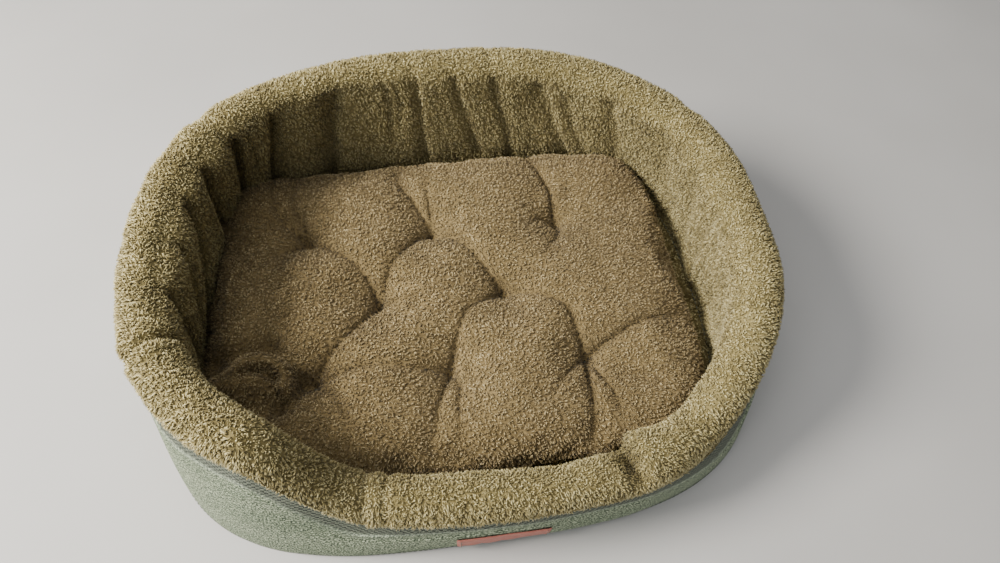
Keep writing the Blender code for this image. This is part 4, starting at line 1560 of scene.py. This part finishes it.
def skirt_front(wall, x, z):
    """Y of the skirt's face at the front, at a given X and height."""
    front = wall.rim[:, 1] < 0
    line = wall.outer(np.full(len(wall.rim), z), PLUSH + GAP)[front]
    order = np.argsort(line[:, 0])
    return np.interp(x, line[order, 0], line[order, 1])


def make_label(wall, material, thread):
    """The folded tag on the front of the skirt, with a row of stitches down each end."""
    across, up = (np.linspace(-0.5, 0.5, count) * size + centre
                  for count, size, centre in zip(LABEL_GRID, LABEL_SIZE, LABEL_CENTRE))
    front = np.array([[(x, skirt_front(wall, x, z) - TAG_STAND_OFF, z) for x in across]
                      for z in up])
    flat = np.dstack([front[..., 0], front[..., 2], 0 * front[..., 0]])
    edge_x = np.minimum(across - across[0], across[-1] - across)[None, :]
    edge_z = np.minimum(up - up[0], up[-1] - up)[:, None]
    soft = TAG_WARP * noise(flat, TAG_WARP_SIZE, 601)
    soft = soft + TAG_GROOVE * bell(edge_x - TAG_STITCH_INSET, TAG_GROOVE_WIDTH)
    soft = soft * np.minimum(1, edge_z / TAG_CALM_HEIGHT + TAG_CALM)
    rounding = TAG_ROUNDING * bell(np.minimum(edge_x, edge_z), TAG_ROUNDING_WIDTH)
    front[..., 1] -= np.abs(soft) - rounding
    tag = welded_discs("plain_tag", front, front + (0, TAG_THICKNESS, 0), material)
    stitches = []
    ends = (across[0] + TAG_STITCH_INSET, across[-1] - TAG_STITCH_INSET)
    for side, x in zip(("left", "right"), ends):
        heights = np.linspace(up[1] + TAG_STITCH_MARGIN, up[-2] - TAG_STITCH_MARGIN, TAG_STITCHES)
        places = np.array([(x, skirt_front(wall, x, z) - TAG_STITCH_STAND_OFF, z) for z in heights])
        along = np.tile((0.0, 0.0, 1.0), (TAG_STITCHES, 1))
        facing = np.tile((0.0, -1.0, 0.0), (TAG_STITCHES, 1))
        row = add_stitches(f"tag_stitches_{side}", places, along, facing, TAG_STITCH, thread)
        stitches.append(row)
    return tag, stitches


def make_tuft_stitches(cushion, material):
    """A short crossed stitch down in each tuft."""
    points = points_of(cushion)
    upper = points[points[:, 2] > CUSHION_SEAM_Z - TUFT_MOST_SUNK]
    places = []
    along = []
    for x, y in TUFTS.values():
        near = distance(upper[:, :2], (x, y)) < TUFT_STITCH_REACH
        top = upper[near, 2].min()
        for angle in TUFT_STITCH_ANGLES:
            turn = math.radians(angle)
            places.append((x, y, top + TUFT_STITCH_RISE))
            along.append((math.cos(turn), math.sin(turn), 0.0))
    facing = np.tile((0.0, 0.0, 1.0), (len(places), 1))
    return add_stitches("tuft_stitches", np.array(places), np.array(along), facing, TUFT_STITCH,
                        material)


# ---------------------------------------------------------------- assembly

def packed_origin():
    """Where the construction frame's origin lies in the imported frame."""
    low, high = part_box("bottom_cover")
    middle = (low + high) / 2
    return Vector((middle.x, middle.y, 0.0))


def hand_over(slot, body, *pieces):
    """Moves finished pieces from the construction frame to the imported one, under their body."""
    for piece in pieces:
        piece.data.transform(Matrix.Translation(packed_origin()))
        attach(piece, body)


def camera():
    data = bpy.data.cameras.new("camera")
    data.sensor_fit = "HORIZONTAL"
    data.sensor_width = CAMERA_SENSOR
    data.lens = CAMERA_LENS
    data.clip_start = CAMERA_CLIP
    obj = bpy.data.objects.new("camera", data)
    bpy.context.scene.collection.objects.link(obj)
    axes = Matrix((CAMERA_RIGHT, CAMERA_UP, -Vector(CAMERA_FORWARD))).transposed()
    place = Vector(CAMERA_PLACE) + packed_origin()
    obj.matrix_world = Matrix.Translation(place) @ axes.to_4x4()
    bpy.context.scene.camera = obj


def area_light(name, place, size, energy, colour):
    data = bpy.data.lights.new(name, "AREA")
    data.shape = "DISK"
    data.size = size
    data.energy = energy
    data.color = colour
    obj = bpy.data.objects.new(name, data)
    bpy.context.scene.collection.objects.link(obj)
    obj.location = place
    aim = Vector(LIGHT_TARGET) - Vector(place)
    obj.rotation_euler = aim.to_track_quat("-Z", "Y").to_euler()


def studio():
    """Pale floor, a broad key light from the left, soft ones over and before the bed, even sky."""
    x, y = STUDIO_HALF, STUDIO_HALF
    corners = np.array([(-x, -y, 0), (x, -y, 0), (x, y, 0), (-x, y, 0)]) + (0, 0, STUDIO_FLOOR_Z)
    nodes = Nodes("studio_floor")
    tones = ((0.3, (0.385, 0.375, 0.36)), (0.7, (0.43, 0.42, 0.405)))
    pale = nodes.finish(nodes.ramp(nodes.noise(0.35, detail=3.0), tones), roughness=0.6)
    floor = add_mesh("floor", corners, np.array([[0, 1, 2, 3]]), pale, False)
    for light in LIGHTS:
        area_light(*light)
    world = bpy.data.worlds.new("studio")
    world.use_nodes = True
    background = world.node_tree.nodes["Background"]
    background.inputs["Color"].default_value = SKY
    background.inputs["Strength"].default_value = SKY_STRENGTH
    bpy.context.scene.world = world


def main():
    wall = Wall(STATIONS)
    coarse = Wall(COARSE_STATIONS)
    # Fleece colours as valley, middle and tip: the dark valley is painted shade between the nubs
    # and at the strands' roots.
    rim_fleece = fleece("rim_fleece", (0.080, 0.062, 0.022), (0.40, 0.328, 0.140),
                        (0.88, 0.79, 0.44))
    pad_fleece = fleece("pad_fleece", (0.060, 0.042, 0.017), (0.315, 0.232, 0.106),
                        (0.80, 0.665, 0.38))
    cloth = woven_cloth("heather_cloth")
    tag_cloth = grained("tag_cloth", (0.30, 0.085, 0.058), (0.42, 0.145, 0.105), 0.0012, 0.55)
    thread = grained("sewing_thread", (0.05, 0.06, 0.045), (0.16, 0.18, 0.13), 0.0008, 0.7,
                     sheen=0.2, bump=0.0002)
    base_cloth = grained("base_cloth_black", (0.020, 0.020, 0.020), (0.050, 0.050, 0.048), 0.0015,
                         0.85)
    rubber = grained("base_rubber", (0.010, 0.010, 0.010), (0.022, 0.022, 0.022), 0.004, 0.45)

    plush_wall, *wall_pile = make_plush_wall(wall, rim_fleece)
    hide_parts("wall_lining", "wall_foam")
    hand_over("plush", "bed", plush_wall, *wall_pile)

    skirt = make_skirt(coarse, cloth)
    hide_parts("outer_skirt")
    hand_over("woven", "bed", skirt)

    plush_floor, *floor_pile = make_plush_floor(rim_fleece)
    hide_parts("floor_lining", "base_foam")
    hand_over("plush", "bed", plush_floor, *floor_pile)

    base, dots = make_base(base_cloth, rubber)
    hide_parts("bottom_cover")
    hand_over("base_cloth", "bed", base, dots)

    make_seams(coarse, thread)
    tag, tag_stitches = make_label(coarse, tag_cloth, thread)
    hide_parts("label_tag")
    hand_over("tag", "bed", tag)
    for piece, node in zip(tag_stitches, ("label_stitch_left", "label_stitch_right")):
        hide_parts(node)
        hand_over("thread", "bed", piece)

    cushion, *cushion_pile = make_cushion(coarse, pad_fleece)
    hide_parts("cushion_top_cover", "cushion_bottom_cover", "cushion_fill")
    ties = make_tuft_stitches(cushion, thread)
    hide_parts(*[f"tuft_tie_{number + 1}" for number in range(len(TUFTS))])
    hand_over("thread", "cushion", ties)
    hand_over("cushion_plush", "cushion", cushion, *cushion_pile)


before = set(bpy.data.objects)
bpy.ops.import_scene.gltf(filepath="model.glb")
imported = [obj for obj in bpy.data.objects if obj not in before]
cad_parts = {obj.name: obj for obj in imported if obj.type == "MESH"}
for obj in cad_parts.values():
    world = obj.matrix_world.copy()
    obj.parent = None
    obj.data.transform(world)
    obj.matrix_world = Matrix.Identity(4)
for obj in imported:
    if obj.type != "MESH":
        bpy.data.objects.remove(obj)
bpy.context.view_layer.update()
camera()
studio()
main()
